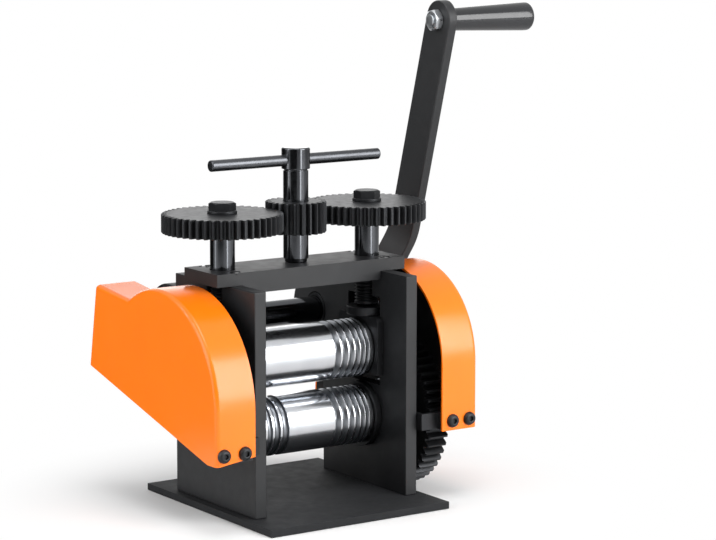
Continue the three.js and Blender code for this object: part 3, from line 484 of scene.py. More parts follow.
for side, sign in sides:
    bore, flange, face, sleeve = rollBush.values()
    near, far = outwardReach(f"lower_bush_{side}")
    addRing(f"lower_bush_{side}", [(bore, near), (flange, near), (flange, face), (sleeve, face), (sleeve, far),
                                   (bore, far)], lowerAxle, sign)
    bore, sleeve, flange, thickness = crankBush.values()
    near, far = outwardReach(f"crank_bush_{side}")
    face = far - thickness
    addRing(f"crank_bush_{side}", [(bore, near), (sleeve, near), (sleeve, face), (flange, face), (flange, far),
                                   (bore, far)], crankAxle, sign)
    bore, radius = thrustRing.values()
    near, far = outwardReach(f"thrust_ring_{side}")
    addRing(f"thrust_ring_{side}", [(bore, near), (radius, near), (radius, far), (bore, far)], upperAxle, sign)
    node = f"thrust_pad_{side}"
    low, high = reach(node, 2)
    pad = softened([(0, low), (thrustPad["radius"], low), (thrustPad["radius"], high), (0, high)], thrustPad["edge"])
    addPiece(node, [gridPart(turned(pad) + (middle(node, 0), 0, 0))])
print("bushes, rings and pads ready")


# Springs

springSizes = {"radius": 2.0, "wire": 0.45, "curls": 4, "steps": 128, "sides": 10}


def springSurface(low, high):
    # A helix: at share s of the wire its middle has turned by 2 pi times curls times s and risen evenly. Round the
    # middle go w cos b outwards and w sin b square to the slope, where w is 0 at both ends and closes them.
    coil, wire, curls = springSizes["radius"], springSizes["wire"], springSizes["curls"]
    share = np.linspace(0, 1, springSizes["steps"])[:, None]
    turn = 2 * np.pi * curls * share
    height = low + wire + (high - low - 2 * wire) * share
    slope = math.atan((high - low) / (2 * np.pi * curls * coil))
    around = np.linspace(0, 2 * np.pi, springSizes["sides"], endpoint=False)[None, :]
    thick = wire * np.where((share == 0) | (share == 1), 0.0, 1.0)
    radius, upwards = coil + thick * np.cos(around), thick * np.sin(around)
    x = radius * np.cos(turn) + upwards * math.sin(slope) * np.sin(turn)
    y = radius * np.sin(turn) - upwards * math.sin(slope) * np.cos(turn)
    return np.stack([x, y, height + upwards * math.cos(slope)], -1)


for side, _ in sides:
    for end in ("front", "rear"):
        node = f"spring_{side}_{end}"
        low, high = reach(node, 2)
        surface = springSurface(low, high) + (middle(node, 0), middle(node, 1), 0)
        spring = addPiece(node, [gridPart(surface, rowsClosed=False, columnsClosed=True)], sharpest=80)
        # the point at its foot, and a mesh of its own
        foot = (middle(node, 0) * mm, middle(node, 1) * mm, low * mm)
        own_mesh(spring)
print("springs ready")


# Gears

driveGears = {"module": 1.5, "backlash": 0.45, "chamfer": 0.6}
adjusterGears = {"module": 1.25, "backlash": 0.35, "chamfer": 0.5}
# In modules: the root's depth below the pitch circle, and two points that lead from the root circle to the flank,
# by how high they rise and how much they widen the tooth
toothRoot = {"depth": 1.3, "rises": (0, 0.12), "widths": (0.09, 0.02), "flankStart": 0.3, "flankPoints": 5}
gearFace = {"boreEdge": 0.4, "rim": 0.9}
pressureAngle = math.radians(20)


def gearOutline(teeth, module, backlash):
    # Involute teeth: at radius r a tooth's half angle is its pitch value + inv(pressure) - inv(acos(base / r)),
    # where inv(a) is tan a - a
    pitch = module * teeth / 2
    base, tip, root = pitch * math.cos(pressureAngle), pitch + module, pitch - toothRoot["depth"] * module

    def halfTooth(radius):
        # the half angle in that formula
        lean = np.arccos(np.minimum(1, base / radius))
        return (np.pi / (2 * teeth) - backlash / (4 * pitch) + math.tan(pressureAngle) - pressureAngle
                - (np.tan(lean) - lean))

    flank = np.linspace(max(root + toothRoot["flankStart"] * module, base), tip, toothRoot["flankPoints"])
    halfRadius = np.concatenate([root + np.array(toothRoot["rises"]) * module, flank])
    widening = np.append(np.array(toothRoot["widths"]) * module, 0 * flank) / pitch
    halfAngle = halfTooth(np.maximum(halfRadius, base)) + widening
    # the tip has one more point, in the tooth's middle
    halfRadius, halfAngle = np.append(halfRadius, tip), np.append(halfAngle, 0.0)
    angle = np.concatenate([-halfAngle, halfAngle[-2::-1]])
    radius = np.concatenate([halfRadius, halfRadius[-2::-1]])
    toothMiddles = 2 * np.pi * np.arange(teeth)[:, None] / teeth
    return (toothMiddles + angle).ravel(), np.tile(radius, teeth), tip, root


def gearSurface(wheel, kind, low, high):
    # Rings from the bore over the lower face, round the teeth and back over the upper face; a hub stands out below
    angle, radius, tip, root = gearOutline(wheel["teeth"], kind["module"], kind["backlash"])
    chamfer, bore, edge = kind["chamfer"], wheel["bore"], gearFace["boreEdge"]
    cut, inside = np.minimum(radius, tip - chamfer), root - gearFace["rim"]
    hub = wheel.get("hub", bore + edge)
    bottom = high - wheel["width"] if "width" in wheel else low
    radii = [bore, bore + edge, hub, hub, inside, cut, radius, radius, cut, inside, bore + edge, bore]
    heights = [low + edge, low, low, bottom, bottom, bottom, bottom + chamfer, high - chamfer, high, high, high,
               high - edge]
    return rings(angle + wheel["turn"], radii, heights)


def meshedTurn(wheel, driver):
    # A gap of the wheel meets the driver's tooth on the line between their axles: the line's direction plus half a
    # turn, less what the driver's teeth lack there of half a tooth, in the wheel's teeth
    direction = math.atan2(wheel["axle"][1] - driver["axle"][1], wheel["axle"][0] - driver["axle"][0])
    phase = (direction - driver["turn"]) * driver["teeth"] / (2 * math.pi)
    return direction + math.pi - (0.5 - phase) * 2 * math.pi / wheel["teeth"]


gearWheels = {
    "crank_pinion_left": {"teeth": 18, "bore": 6.15, "axle": crankAxle},
    "crank_pinion_right": {"teeth": 20, "bore": 6.15, "axle": crankAxle},
    "upper_roll_gear": {"teeth": 45, "bore": 6.6, "axle": upperAxle, "driver": "crank_pinion_left"},
    "idler_gear": {"teeth": 16, "bore": 4.65, "axle": idlerAxle, "driver": "crank_pinion_right", "hub": 8,
                   "width": 12},
    "lower_roll_gear": {"teeth": 50, "bore": 6.6, "axle": lowerAxle, "driver": "idler_gear"},
}
for node, wheel in gearWheels.items():
    wheel["turn"] = meshedTurn(wheel, gearWheels[wheel["driver"]]) if "driver" in wheel else 0.0
    surface = gearSurface(wheel, driveGears, *reach(node, 0))
    addPiece(node, [gridPart(across(surface, wheel["axle"]), columnsClosed=True)], sharpest=35)

centrePinion = {"teeth": 23, "bore": 6.6, "axle": (0, 0), "turn": 0.0}
adjustingGear = {"teeth": 47, "bore": 5.15}
for side, _ in sides:
    place = middle(f"pressure_screw_{side}", 0)
    adjustingGear["axle"] = (place, 0)
    adjustingGear["turn"] = meshedTurn(adjustingGear, centrePinion)
    surface = gearSurface(adjustingGear, adjusterGears, *reach(f"adjusting_gear_{side}", 2))
    addPiece(f"adjusting_gear_{side}", [gridPart(surface + (place, 0, 0), columnsClosed=True)], sharpest=35)
surface = gearSurface(centrePinion, adjusterGears, *reach("centre_pinion", 2))
addPiece("centre_pinion", [gridPart(surface, columnsClosed=True)], sharpest=35)
print("gears ready")


# Bolts, washers and nut

hexagonEdge = {"circle": 0.475, "bore": 0.4}  # the chamfer circle's radius over the width, and the bore's edge in mm
overlap = 0.1  # how far the parts of one bolt reach into each other
aroundHexagon = np.linspace(0, 2 * np.pi, 96, endpoint=False)


def hexagonHead(width, bottom, top, bore=None):
    # Sides at the hexagon's radius; their edges fall 30 degrees outside the chamfer circle. A bore makes it a nut.
    side = hexagonRadius(width, aroundHexagon)
    circle = hexagonEdge["circle"] * width
    fall = np.maximum(0, side - circle) * math.tan(math.pi / 6)
    if bore is None:
        return rings(aroundHexagon, [0, side, side, circle, 0], [bottom, bottom, top - fall, top, top])
    edge = hexagonEdge["bore"]
    return rings(aroundHexagon, [bore, bore + edge, circle, side, side, circle, bore + edge, bore],
                 [bottom + edge, bottom, bottom, bottom + fall, top - fall, top, top, top - edge])


def washerBolt(size):
    # Profiles turned about the axis: washer and hexagon head above height 0, and the shank with its point below
    thick, shank, end = size["washerThickness"], size["shank"], -size["length"]
    washer = softened([(0, 0), (size["washer"], 0), (size["washer"], thick), (0, thick)], softEdge["small"])
    pin = [(0, end), (shank - size["point"], end), (shank, end + size["point"]), (shank, overlap), (0, overlap)]
    head = hexagonHead(size["head"], thick - overlap / 2, thick + size["headThickness"])
    return [turned(washer), head, turned(pin, steps=32)]


rollGearBolt = {"washer": 9.5, "washerThickness": 1.5, "head": 13, "headThickness": 3, "shank": 3, "length": 13.7,
                "point": 0.5}
adjusterBolt = {"washer": 7.5, "washerThickness": 1.5, "head": 12, "headThickness": 4.1, "shank": 3, "length": 13.7,
                "point": 0.5}
for node, gear, axle, sign in (("lower_gear_bolt", "lower_roll_gear", lowerAxle, 1),
                               ("upper_gear_bolt", "upper_roll_gear", upperAxle, -1)):
    outer = outwardReach(gear)[1]
    parts = [mirrored(across(surface + (0, 0, outer), axle), sign) for surface in washerBolt(rollGearBolt)]
    addPiece(node, [gridPart(part) for part in parts], sharpest=25)
for side, _ in sides:
    place = (middle(f"pressure_screw_{side}", 0), 0, reach(f"adjusting_gear_{side}", 2)[1])
    addPiece(f"adjuster_bolt_{side}", [gridPart(part + place) for part in washerBolt(adjusterBolt)], sharpest=25)
print("bolts ready")


# Idler stub

idlerStub = {"stem": 3.5, "pin": 4.5, "pinStart": 48.8, "head": 7, "headThickness": 2.5}

stem, pin, pinStart, head, headThickness = idlerStub.values()
low, high = reach("idler_stub", 0)
headStart = high - headThickness
stub = softened([(0, low), (stem, low), (stem, pinStart), (pin, pinStart), (pin, headStart), (head, headStart),
                 (head, high), (0, high)], softEdge["small"])
addPiece("idler_stub", [gridPart(across(turned(stub), idlerAxle))])


# Rolls: profiles of radius over X

rollSizes = {"radius": 15.25, "half": 38, "chamfer": 0.5, "journal": 8, "journalEnd": 57, "seat": 6.5, "land": 1.1,
             "wire": (3.6, 3.2, 2.8, 2.4, 2.0, 1.6), "wireStart": 14.2, "halfRound": (4.0, 3.6, 3.2, 2.8, 2.4),
             "halfRoundStart": -13.9, "halfRoundDepth": 0.4, "journalEdge": 0.5, "seatEdge": 0.4, "dullDepth": 0.15}
grooveEdge = {"lip": 0.1, "lipOut": 0.08, "floor": 0.12, "floorHalf": 0.1}


def wireGrooves():
    # V grooves as deep as half their width, with rounded lips and a narrow floor, from wireStart to the right
    top, x = rollSizes["radius"], rollSizes["wireStart"]
    lip, lipOut, floor, floorHalf = grooveEdge.values()
    points = []
    for width in rollSizes["wire"]:
        centre, end, bottom = x + width / 2, x + width, top - width / 2 + floor
        points += [(top, x - lipOut), (top - lip, x + lip), (bottom, centre - floorHalf),
                   (bottom, centre + floorHalf), (top - lip, end - lip), (top, end + lipOut)]
        x += width + rollSizes["land"]
    return points


def roundGrooves():
    # Half ellipses, from halfRoundStart to the left: radius less depth sin a, X the middle plus half the width cos a
    x, points = rollSizes["halfRoundStart"], []
    turn = np.linspace(np.pi, 0, 9)
    for width in rollSizes["halfRound"]:
        depth = rollSizes["halfRoundDepth"] * width
        groove = np.stack([rollSizes["radius"] - depth * np.sin(turn), x - width / 2 + width / 2 * np.cos(turn)], 1)
        points = groove.tolist() + points
        x -= width + rollSizes["land"]
    return points


def rollEnd(far, geared):
    # From the ground face outwards: a rounded chamfer, the journal and, on the geared side, the gear's seat
    radius, half, chamfer, journal, journalEnd, seat = (
        rollSizes[key] for key in ("radius", "half", "chamfer", "journal", "journalEnd", "seat"))
    points = [(radius, half - chamfer), (radius - 0.3 * chamfer, half - 0.3 * chamfer), (radius - chamfer, half),
              (journal, half)]
    edge = rollSizes["seatEdge"] if geared else rollSizes["journalEdge"]
    if not geared:
        return points + [(journal, far - edge), (journal - edge, far), (0, far)]
    return points + [(journal, journalEnd - edge), (journal - edge, journalEnd), (seat, journalEnd),
                     (seat, far - edge), (seat - edge, far), (0, far)]


for node, grooves, axle, sign in (("lower_roll", roundGrooves() + wireGrooves(), lowerAxle, 1),
                                  ("upper_roll", wireGrooves(), upperAxle, -1)):
    low, high = reach(node, 0)
    leftEnd = [(radius, -x) for radius, x in rollEnd(-low, geared=sign < 0)[::-1]]
    profile = leftEnd + grooves + rollEnd(high, geared=sign > 0)
    roll = addPiece(node, [gridPart(across(turned(profile, steps=192), axle))], sharpest=30)
    points = np.empty(3 * len(roll.data.vertices))
    roll.data.vertices.foreach_get("co", points)
    points = points.reshape(-1, 3) / mm
    # the attribute is 0 on the ground face and 1 from dullDepth below it
    depth = rollSizes["radius"] - np.hypot(points[:, 1] - axle[0], points[:, 2] - axle[1])
    skin = np.clip(depth / rollSizes["dullDepth"], 0, 1)
    roll.data.attributes.new("turned", "FLOAT", "POINT").data.foreach_set("value", skin)
print("rolls ready")


# Crank: shaft, flat arm with a set in it, bolt, washer and grip

crankLean = 16.2  # degrees
crankSizes = {"length": 160.9, "width": 20.6, "thick": 5.5, "inner": 82, "jogStart": 24.5, "jogLength": 16,
              "jog": 6.7, "bend": 7.0, "edge": 0.9}
armRows = {"roundEnd": 28, "first": 4, "below": 8.0, "margin": 8, "bend": 1.0, "aboveFrom": 14, "above": 10.0}
shaftSizes = {"radius": 6.85, "seat": 6, "gearInner": 57, "spigot": 4.5, "clear": 0.3}


def leaning(surface):
    # Turns a shape drawn upright by the arm's lean a, (y cos a - z sin a, y sin a + z cos a), and sets it on the axle
    lean = math.radians(crankLean)
    y, z = surface[..., 1], surface[..., 2]
    return np.stack([surface[..., 0], crankAxle[0] + y * math.cos(lean) - z * math.sin(lean),
                     crankAxle[1] + y * math.sin(lean) + z * math.cos(lean)], -1)


radius, seat, gearInner, spigot, clear = shaftSizes.values()
low, high = reach("crank_shaft", 0)
shoulder = gearInner - clear
spigotStart = crankSizes["inner"] - clear
shaft = softened([(0, low), (seat, low), (seat, -shoulder), (radius, -shoulder), (radius, shoulder), (seat, shoulder),
                  (seat, spigotStart), (spigot, spigotStart), (spigot, high), (0, high)], softEdge["shaft"])
addPiece("crank_shaft", [gridPart(across(turned(shaft), crankAxle))])


def armHeights(half):
    # Heights of the cross sections, in mm: half the width times sin a in the round ends, and else in even steps, which
    # are fine through the bend
    roundEnd, first, below, margin, bend, aboveFrom, above = armRows.values()
    length, start = crankSizes["length"], crankSizes["jogStart"]
    end = start + crankSizes["jogLength"]
    fall = np.sin(np.linspace(-np.pi / 2, 0, roundEnd)) * half
    return np.concatenate([fall, np.arange(first, start - margin, below), np.arange(start - margin, end + margin, bend),
                           np.arange(end + aboveFrom, length - first, above), length - fall[::-1]])


def crankArm():
    # Cross sections carried up the arm along a smooth path in X. Each is a rounded rectangle, whose half width is
    # sqrt(R^2 - d^2) at a distance d into the round ends.
    length, width, thick, inner, jogStart, jogLength, jog, bend, edge = crankSizes.values()
    half = width / 2
    path = softened([(inner, -half), (inner, jogStart), (inner + jog, jogStart + jogLength),
                     (inner + jog, length + half)], bend, steps=10)
    height = armHeights(half)
    beyond = np.maximum(0, np.maximum(-height, height - length))
    wide = np.sqrt(np.maximum(0, half ** 2 - beyond ** 2))[:, None]
    turn = np.linspace(0, np.pi / 2, 5)
    arc = np.stack([np.sin(turn), 1 - np.cos(turn)], 1) * edge
    right = np.concatenate([arc - (edge, 0), np.stack([arc[::-1, 0] - edge, thick - arc[::-1, 1]], 1)])
    offset = np.concatenate([right[:, 0], -right[::-1, 0]])
    depth = np.concatenate([right[:, 1], right[::-1, 1]])
    side = np.repeat([1.0, -1.0], len(right))
    x = np.interp(height, path[:, 1], path[:, 0])[:, None] + depth
    y = wide * side + np.where(wide > edge, offset, offset * wide / edge)
    return np.stack([x, y, height[:, None] + 0 * depth], -1)


addPiece("crank_arm", [gridPart(leaning(crankArm()), rowsClosed=False, columnsClosed=True)], sharpest=60)

crankWasher = {"bore": 3.3, "radius": 8.5}
crankBolt = {"head": 13, "shank": 3}

low, washerTop = reach("crank_washer", 0)
bore, radius = crankWasher.values()
washer = softened([(bore, low), (radius, low), (radius, washerTop), (bore, washerTop)], softEdge["small"],
                  closed=True)
addPiece("crank_washer", [gridPart(across(turned(washer), crankAxle), columnsClosed=True)])
low, high = reach("crank_bolt", 0)
head = hexagonHead(crankBolt["head"], washerTop - overlap / 2, high)
radius = crankBolt["shank"]
shank = turned([(0, low), (radius, low), (radius, washerTop), (0, washerTop)], steps=32)
addPiece("crank_bolt", [gridPart(leaning(across(surface))) for surface in (head, shank)], sharpest=25)

gripSpindle = {"thread": 3, "collar": 6, "collarThickness": 1.5, "pin": 3.6}
gripNut = {"width": 10, "bore": 3.1}
gripSizes = {"bore": 3.9, "inner": 5.8, "outer": 7.5, "swell": 4, "edge": 1.2, "dome": 1.6, "wall": 3.7}
gripEdges = [0.3, 1.0, 6, 1.2, 1.2, 0, 0, 0.3]  # one for each point of the grip's profile, as it stands below


def onArmEnd(surface):
    # A shape drawn about its own height axis, laid across at the arm's upper end, then leaned
    return leaning(across(surface) + (0, 0, crankSizes["length"]))


thread, collar, collarThickness, pin = gripSpindle.values()
low, high = reach("grip_spindle", 0)
armOuter = crankSizes["inner"] + crankSizes["jog"] + crankSizes["thick"]
collarEnd = armOuter + collarThickness
spindle = softened([(0, low), (thread, low), (thread, armOuter), (collar, armOuter), (collar, collarEnd),
                    (pin, collarEnd), (pin, high), (0, high)], softEdge["small"])
addPiece("grip_spindle", [gridPart(onArmEnd(turned(spindle)))])
nut = hexagonHead(gripNut["width"], *reach("grip_nut", 0), bore=gripNut["bore"])
addPiece("grip_nut", [gridPart(onArmEnd(nut), columnsClosed=True)], sharpest=25)
bore, inner, outer, swell, edge, dome, wall = gripSizes.values()
low, high = reach("crank_grip", 0)
grip = softened([(bore, low), (inner, low), (outer, high - swell), (outer, high - edge), (outer - dome, high),
                 (0, high), (0, high - wall), (bore, high - wall)], gripEdges, steps=6, closed=True)
addPiece("crank_grip", [gridPart(onArmEnd(turned(grip, steps=128)), columnsClosed=True)])
print("crank ready")


# Screw-down: T-handle and pressure screws

handleSizes = {"stem": 4.5, "foot": 5.7, "footHeight": 1.6, "column": 6.45, "groove": 6.0, "grooveHeight": 0.7,
               "hub": 7.3, "hubBottom": 171.4, "clear": 0.3}
handleEdges = [0, 0.3, 0.2, 0.3, 0.2, 0.4, 0.15, 0.1, 0.1, 0.5, 0.9, 0]  # one for each point of the profile below
barSizes = {"radius": 2.9, "length": 101.4, "height": 175.9, "edge": 0.7}
screwSizes = {"radius": 6.3, "seat": 5, "point": 1.1, "edge": 0.3}
threadSizes = {"pitch": 1.75, "depth": 0.95, "top": 117.5, "start": 1.2, "fade": 1.5, "steepness": 1.25,
               "crest": 0.12, "rowsPerTurn": 8, "steps": 72}

stem, foot, footHeight, column, groove, grooveHeight, hub, hubBottom, clear = handleSizes.values()
low, high = reach("handle_spindle", 2)
bottom = reach("top_plate", 2)[1] + clear
columnStart, grooveStart = bottom + footHeight, hubBottom - grooveHeight
handle = softened([(0, low), (stem, low), (stem, bottom), (foot, bottom), (foot, columnStart), (column, columnStart),
                   (column, grooveStart), (groove, grooveStart), (groove, hubBottom), (hub, hubBottom), (hub, high),
                   (0, high)], handleEdges)
addPiece("handle_spindle", [gridPart(turned(handle, steps=128))])
half, radius = barSizes["length"] / 2, barSizes["radius"]
rod = softened([(0, -half), (radius, -half), (radius, half), (0, half)], barSizes["edge"])
addPiece("handle_bar", [gridPart(across(turned(rod, steps=64), (0, barSizes["height"])))])


def threadSurface(low):
    # The radius falls by depth times a triangle wave of height over pitch less angle over a turn. The wave is clipped
    # to flat crests and roots, and fades at both ends.
    pitch, depth, top, start, fade, steepness, crest, rowsPerTurn, steps = threadSizes.values()
    angle = np.linspace(0, 2 * np.pi, steps, endpoint=False)
    height = np.arange(low + start, top, pitch / rowsPerTurn)
    phase = height[None, :] / pitch - angle[:, None] / (2 * np.pi)
    wave = np.abs(2 * (phase - np.floor(phase)) - 1)
    fading = np.clip(np.minimum(height - low - start, top - height) / fade, 0, 1)
    radius = screwSizes["radius"] - depth * np.clip(steepness * wave - crest, 0, 1) * fading
    return np.stack([radius * np.cos(angle)[:, None], radius * np.sin(angle)[:, None], height + 0 * radius], -1)


for side, _ in sides:
    node = f"pressure_screw_{side}"
    radius, seat, point, edge = screwSizes.values()
    steps = threadSizes["steps"]
    low, high = reach(node, 2)
    gearBottom = reach(f"adjusting_gear_{side}", 2)[0]
    below = turned([(0, low), (radius - point, low), (radius, low + point)], steps)
    threaded = threadSurface(low)
    above = turned([(radius, threadSizes["top"] + edge), (radius, gearBottom - edge), (radius - edge, gearBottom),
                    (seat, gearBottom), (seat, high), (0, high)], steps)
    surface = np.concatenate([below, threaded, above], 1) + (middle(node, 0), 0, 0)
    strips = surface.shape[1] - 1
    threadEnd = below.shape[1] + threaded.shape[1]
    # the threaded faces take a darker, duller oxide: partly the threads' own finish, partly painted shade between the
    # plates
    addPiece(node, [gridPart(surface)], shadeAndThreadFaces={k for k in range(steps * strips) if k % strips < threadEnd})
print("screw-down ready")


# Gear covers: the rim along the outline bends over into the flat face, and the sheet has its thickness inwards

coverSizes = {"sheet": 1.2, "bend": 2.4, "boxTop": 110.5, "boxTopBack": 66.5, "boxCorner": 2.8, "shoulder": 33,
              "shaftHole": 8.5, "holeSteps": 48, "bendSteps": 5, "arcSteps": 89}
coverShapes = {
    "left": {"y": 2.4, "z": 60.7, "radius": 55.4, "bottom": 36.6, "toe": 9, "boxBottom": 67.7, "boxBack": 73.6,
             "cutCorner": 3.0},
    "right": {"y": 0, "z": 70.9, "radius": 47.7, "bottom": 37, "toe": 9, "boxBottom": 37, "boxBack": 70,
              "cutCorner": 0.0},
}


def coverRim(cover):
    # Up the front, round the arc (y + r cos a, z + r sin a), along the top and down the sloping back
    shoulder = math.acos((coverSizes["shoulder"] - cover["y"]) / cover["radius"])
    turn = np.linspace(np.pi, shoulder, coverSizes["arcSteps"] + 1)
    arc = np.stack([cover["y"] + cover["radius"] * np.cos(turn), cover["z"] + cover["radius"] * np.sin(turn)], 1)
    box = softened([tuple(arc[-1]), (coverSizes["boxTopBack"], coverSizes["boxTop"]),
                    (cover["boxBack"], cover["boxBottom"])], [0, coverSizes["boxCorner"], 0], steps=5)
    return np.concatenate([[(cover["y"] - cover["radius"], cover["bottom"])], arc, box[1:]])


def coverSkin(rim, inwards, inset, depth):
    # Columns of the rim's cross section: the rim plus inset times inwards, at the given depth in X
    flat = rim[:, None] + inwards[:, None] * inset[None, :, None]
    return np.concatenate([depth[None, :, None] + 0 * flat[..., :1], flat], -1)


def coverSkins(cover, rim, toe, low, high):
    # The outer skin runs out to high and bends over: inset bend (1 - cos a), depth high - bend (1 - sin a). The inner
    # skin follows it round the same centre, closer by the sheet.
    along = np.diff(rim, axis=0)
    normal = np.stack([along[:, 1], -along[:, 0]], 1) / np.linalg.norm(along, axis=1, keepdims=True)
    # inwards at a corner: the sum of both sides' normals over one plus their cosine
    joint = (normal[:-1] + normal[1:]) / (1 + np.sum(normal[:-1] * normal[1:], 1, keepdims=True))
    bottomEdge = np.array(toe) - rim[-1]
    inwards = np.concatenate([[(1.0, 0.0)], joint, [bottomEdge / (bottomEdge @ normal[-1])]])
    turn = np.linspace(0, np.pi / 2, coverSizes["bendSteps"] + 1)
    bend, sheet = coverSizes["bend"], coverSizes["sheet"]
    outer = coverSkin(rim, inwards, np.append(0, bend * (1 - np.cos(turn))),
                      np.append(low, high - bend * (1 - np.sin(turn))))
    inner = coverSkin(rim, inwards, np.append(sheet, bend - (bend - sheet) * np.cos(turn)),
                      np.append(low, high - bend + (bend - sheet) * np.sin(turn)))
    # the rim's bottom corner beside the plate is cut off at a slant
    for skin in (outer, inner):
        skin[0, :, 2] += cover["cutCorner"] * (high - skin[0, :, 0]) / (high - low)
    return outer, inner


def shaftHole(depths):
    # One ring (depth, y + r cos a, z + r sin a) round the crank axle for each depth
    angle = np.linspace(0, 2 * np.pi, coverSizes["holeSteps"], endpoint=False)
    return np.concatenate([np.stack([depth + 0 * angle, crankAxle[0] + coverSizes["shaftHole"] * np.cos(angle),
                                     crankAxle[1] + coverSizes["shaftHole"] * np.sin(angle)], -1)
                           for depth in depths])


def addCover(side, sign):
    # A row of the grid goes out along the outer skin and back along the inner one, and the rows follow the rim. The
    # sheet's cut edges, the two flat faces and the shaft hole are faces of their own.
    node, cover = f"gear_cover_{side}", coverShapes[side]
    low, high = outwardReach(node)
    faceDepths = (high, high - coverSizes["sheet"])
    rim = coverRim(cover)
    toe = (cover["y"] - cover["radius"] + cover["toe"], cover["bottom"])
    outer, inner = coverSkins(cover, rim, toe, low, high)
    rows, columns = outer.shape[:2]
    wide, last = 2 * columns, columns - 1
    points, faces = gridPart(np.concatenate([outer, inner[:, ::-1]], 1), rowsClosed=False, columnsClosed=True)
    # the grid's strip between both flat faces is left open, and the cut edges are closed instead
    faces = [face for face in faces if face[0] % wide != last]
    for start in (0, (rows - 1) * wide):
        end = start + wide - 1
        faces += [[start + j, start + j + 1, end - 1 - j, end - j] for j in range(last)]
    base = len(points)
    first, final = last, (rows - 1) * wide + last
    faces += [[first, base, base + 1, first + 1], [final, base, base + 1, final + 1]]
    points = np.concatenate([points, [(depth, *toe) for depth in faceDepths]])
    holeAt, steps = len(points), coverSizes["holeSteps"]
    if sign > 0:
        points = np.concatenate([points, shaftHole(faceDepths)])
        faces += [[holeAt + k, holeAt + (k + 1) % steps, holeAt + steps + (k + 1) % steps, holeAt + steps + k]
                  for k in range(steps)]
    # the inner skin's faces take the black lining: painted shade inside the orange cover
    shadeAndThreadFaces = {number for number, face in enumerate(faces) if min(k % wide for k in face) > last and max(face) < base}
    # the flat face with the hole is two polygons, which meet above it and between it and the toe
    fromAxle = np.where(rim[:, 1] < crankAxle[1], np.inf, np.abs(rim[:, 0] - crankAxle[0]))
    above = int(np.argmin(fromAxle))
    towardsToe = math.atan2(toe[1] - crankAxle[1], toe[0] - crankAxle[0]) % (2 * math.pi)
    holeTop, holeToe = steps // 4, round(towardsToe / (2 * math.pi) * steps)
    for skin in (0, 1):
        edge = [row * wide + last + skin for row in range(rows)]
        # the inner flat face gets the painted shade as well
        if skin:
            shadeAndThreadFaces |= {len(faces), len(faces) + 1}
        if sign < 0:
            faces.append(edge + [base + skin])
            continue
        hole = [holeAt + steps * skin + k for k in range(steps)]
        faces.append(edge[:above + 1] + hole[holeTop:holeToe + 1] + [base + skin])
        faces.append(edge[above:] + [base + skin] + hole[holeToe:] + hole[:holeTop + 1])
    addPiece(node, [(points * (sign, 1, 1), faces)], shadeAndThreadFaces=shadeAndThreadFaces)


for side, sign in sides:
    addCover(side, sign)
print("covers ready")


# Floor, light and background

def addStagePiece(name, points, look):
    # One flat face through the points, in metres, of a dull material whose colour is clouded by a noise
    material, tree, place = newMaterial(name)
    noise = addNode(tree, "ShaderNodeTexNoise", {"Vector": place, "Scale": look["clouds"], "Detail": 2.0})
    colour = addNode(tree, "ShaderNodeMix", {"Factor": noise.outputs["Fac"], "A": linear(look["dark"]),
                                             "B": linear(look["light"])}, data_type="RGBA")
    shader = addNode(tree, "ShaderNodeBsdfPrincipled", {"Base Color": colour.outputs["Result"],
                                                        "Roughness": look["rough"]})
    output = addNode(tree, "ShaderNodeOutputMaterial", {"Surface": shader.outputs["BSDF"]})
    mesh = bpy.data.meshes.new(name)
    mesh.from_pydata([tuple(point) for point in points], [], [list(range(len(points)))])
    mesh.materials.append(material)
    piece = bpy.data.objects.new(name, mesh)
    bpy.context.scene.collection.objects.link(piece)
    return piece, tree, place, shader, output


def makeFloor(look):
    # White studio floor that keeps the shadow. For the camera alone it fades to plain white, like the background:
    # the share is smooth between the distances shadow and edge, in metres from the mill's middle.
    angle = np.linspace(0, 2 * np.pi, look["corners"], endpoint=False)
    points = np.stack([look["radius"] * np.cos(angle), look["radius"] * np.sin(angle), 0 * angle + look["height"]], 1)
    _, tree, place, shader, output = addStagePiece("studioFloor", points.tolist(), look)
    away = addNode(tree, "ShaderNodeVectorMath", {0: place}, operation="LENGTH")
    fade = addNode(tree, "ShaderNodeMapRange", {"Value": away.outputs["Value"], "From Min": look["shadow"],
                                                "From Max": look["edge"]}, interpolation_type="SMOOTHSTEP")
    seen = addNode(tree, "ShaderNodeMath", {0: addNode(tree, "ShaderNodeLightPath").outputs["Is Camera Ray"],
                                            1: fade.outputs["Result"]}, operation="MULTIPLY")
    white = addNode(tree, "ShaderNodeEmission", {"Color": (1, 1, 1, 1), "Strength": 1.0})
    both = addNode(tree, "ShaderNodeMixShader", {0: seen.outputs["Value"], 1: shader.outputs["BSDF"],
                                                 2: white.outputs["Emission"]})
    tree.links.new(both.outputs["Shader"], output.inputs["Surface"])


def addDarkCloth(name, look):
    # A dark cloth beside the mill, which only reflections see: what turns towards it loses the white haze. It hangs
    # from its head down to its foot, each so far out at the bearing, and as wide as its spread to both sides.
    bearing, spread = math.radians(look["bearing"]), math.tan(math.radians(look["spread"]))
    outwards = np.array([math.sin(bearing), -math.cos(bearing), 0])
    along = np.array([math.cos(bearing), math.sin(bearing), 0]) * spread
    foot, head = outwards * look["foot"], outwards * look["head"] + (0, 0, look["height"])
    corners = (foot - along * look["foot"], head - along * look["head"], head + along * look["head"],
               foot + along * look["foot"])
    cloth = addStagePiece(name, corners, {"dark": "#101010", "light": "#1a1a1a", "clouds": 40.0, "rough": 1.0})[0]
    for ray in ("camera", "diffuse", "shadow", "transmission"):
        setattr(cloth, "visible_" + ray, False)


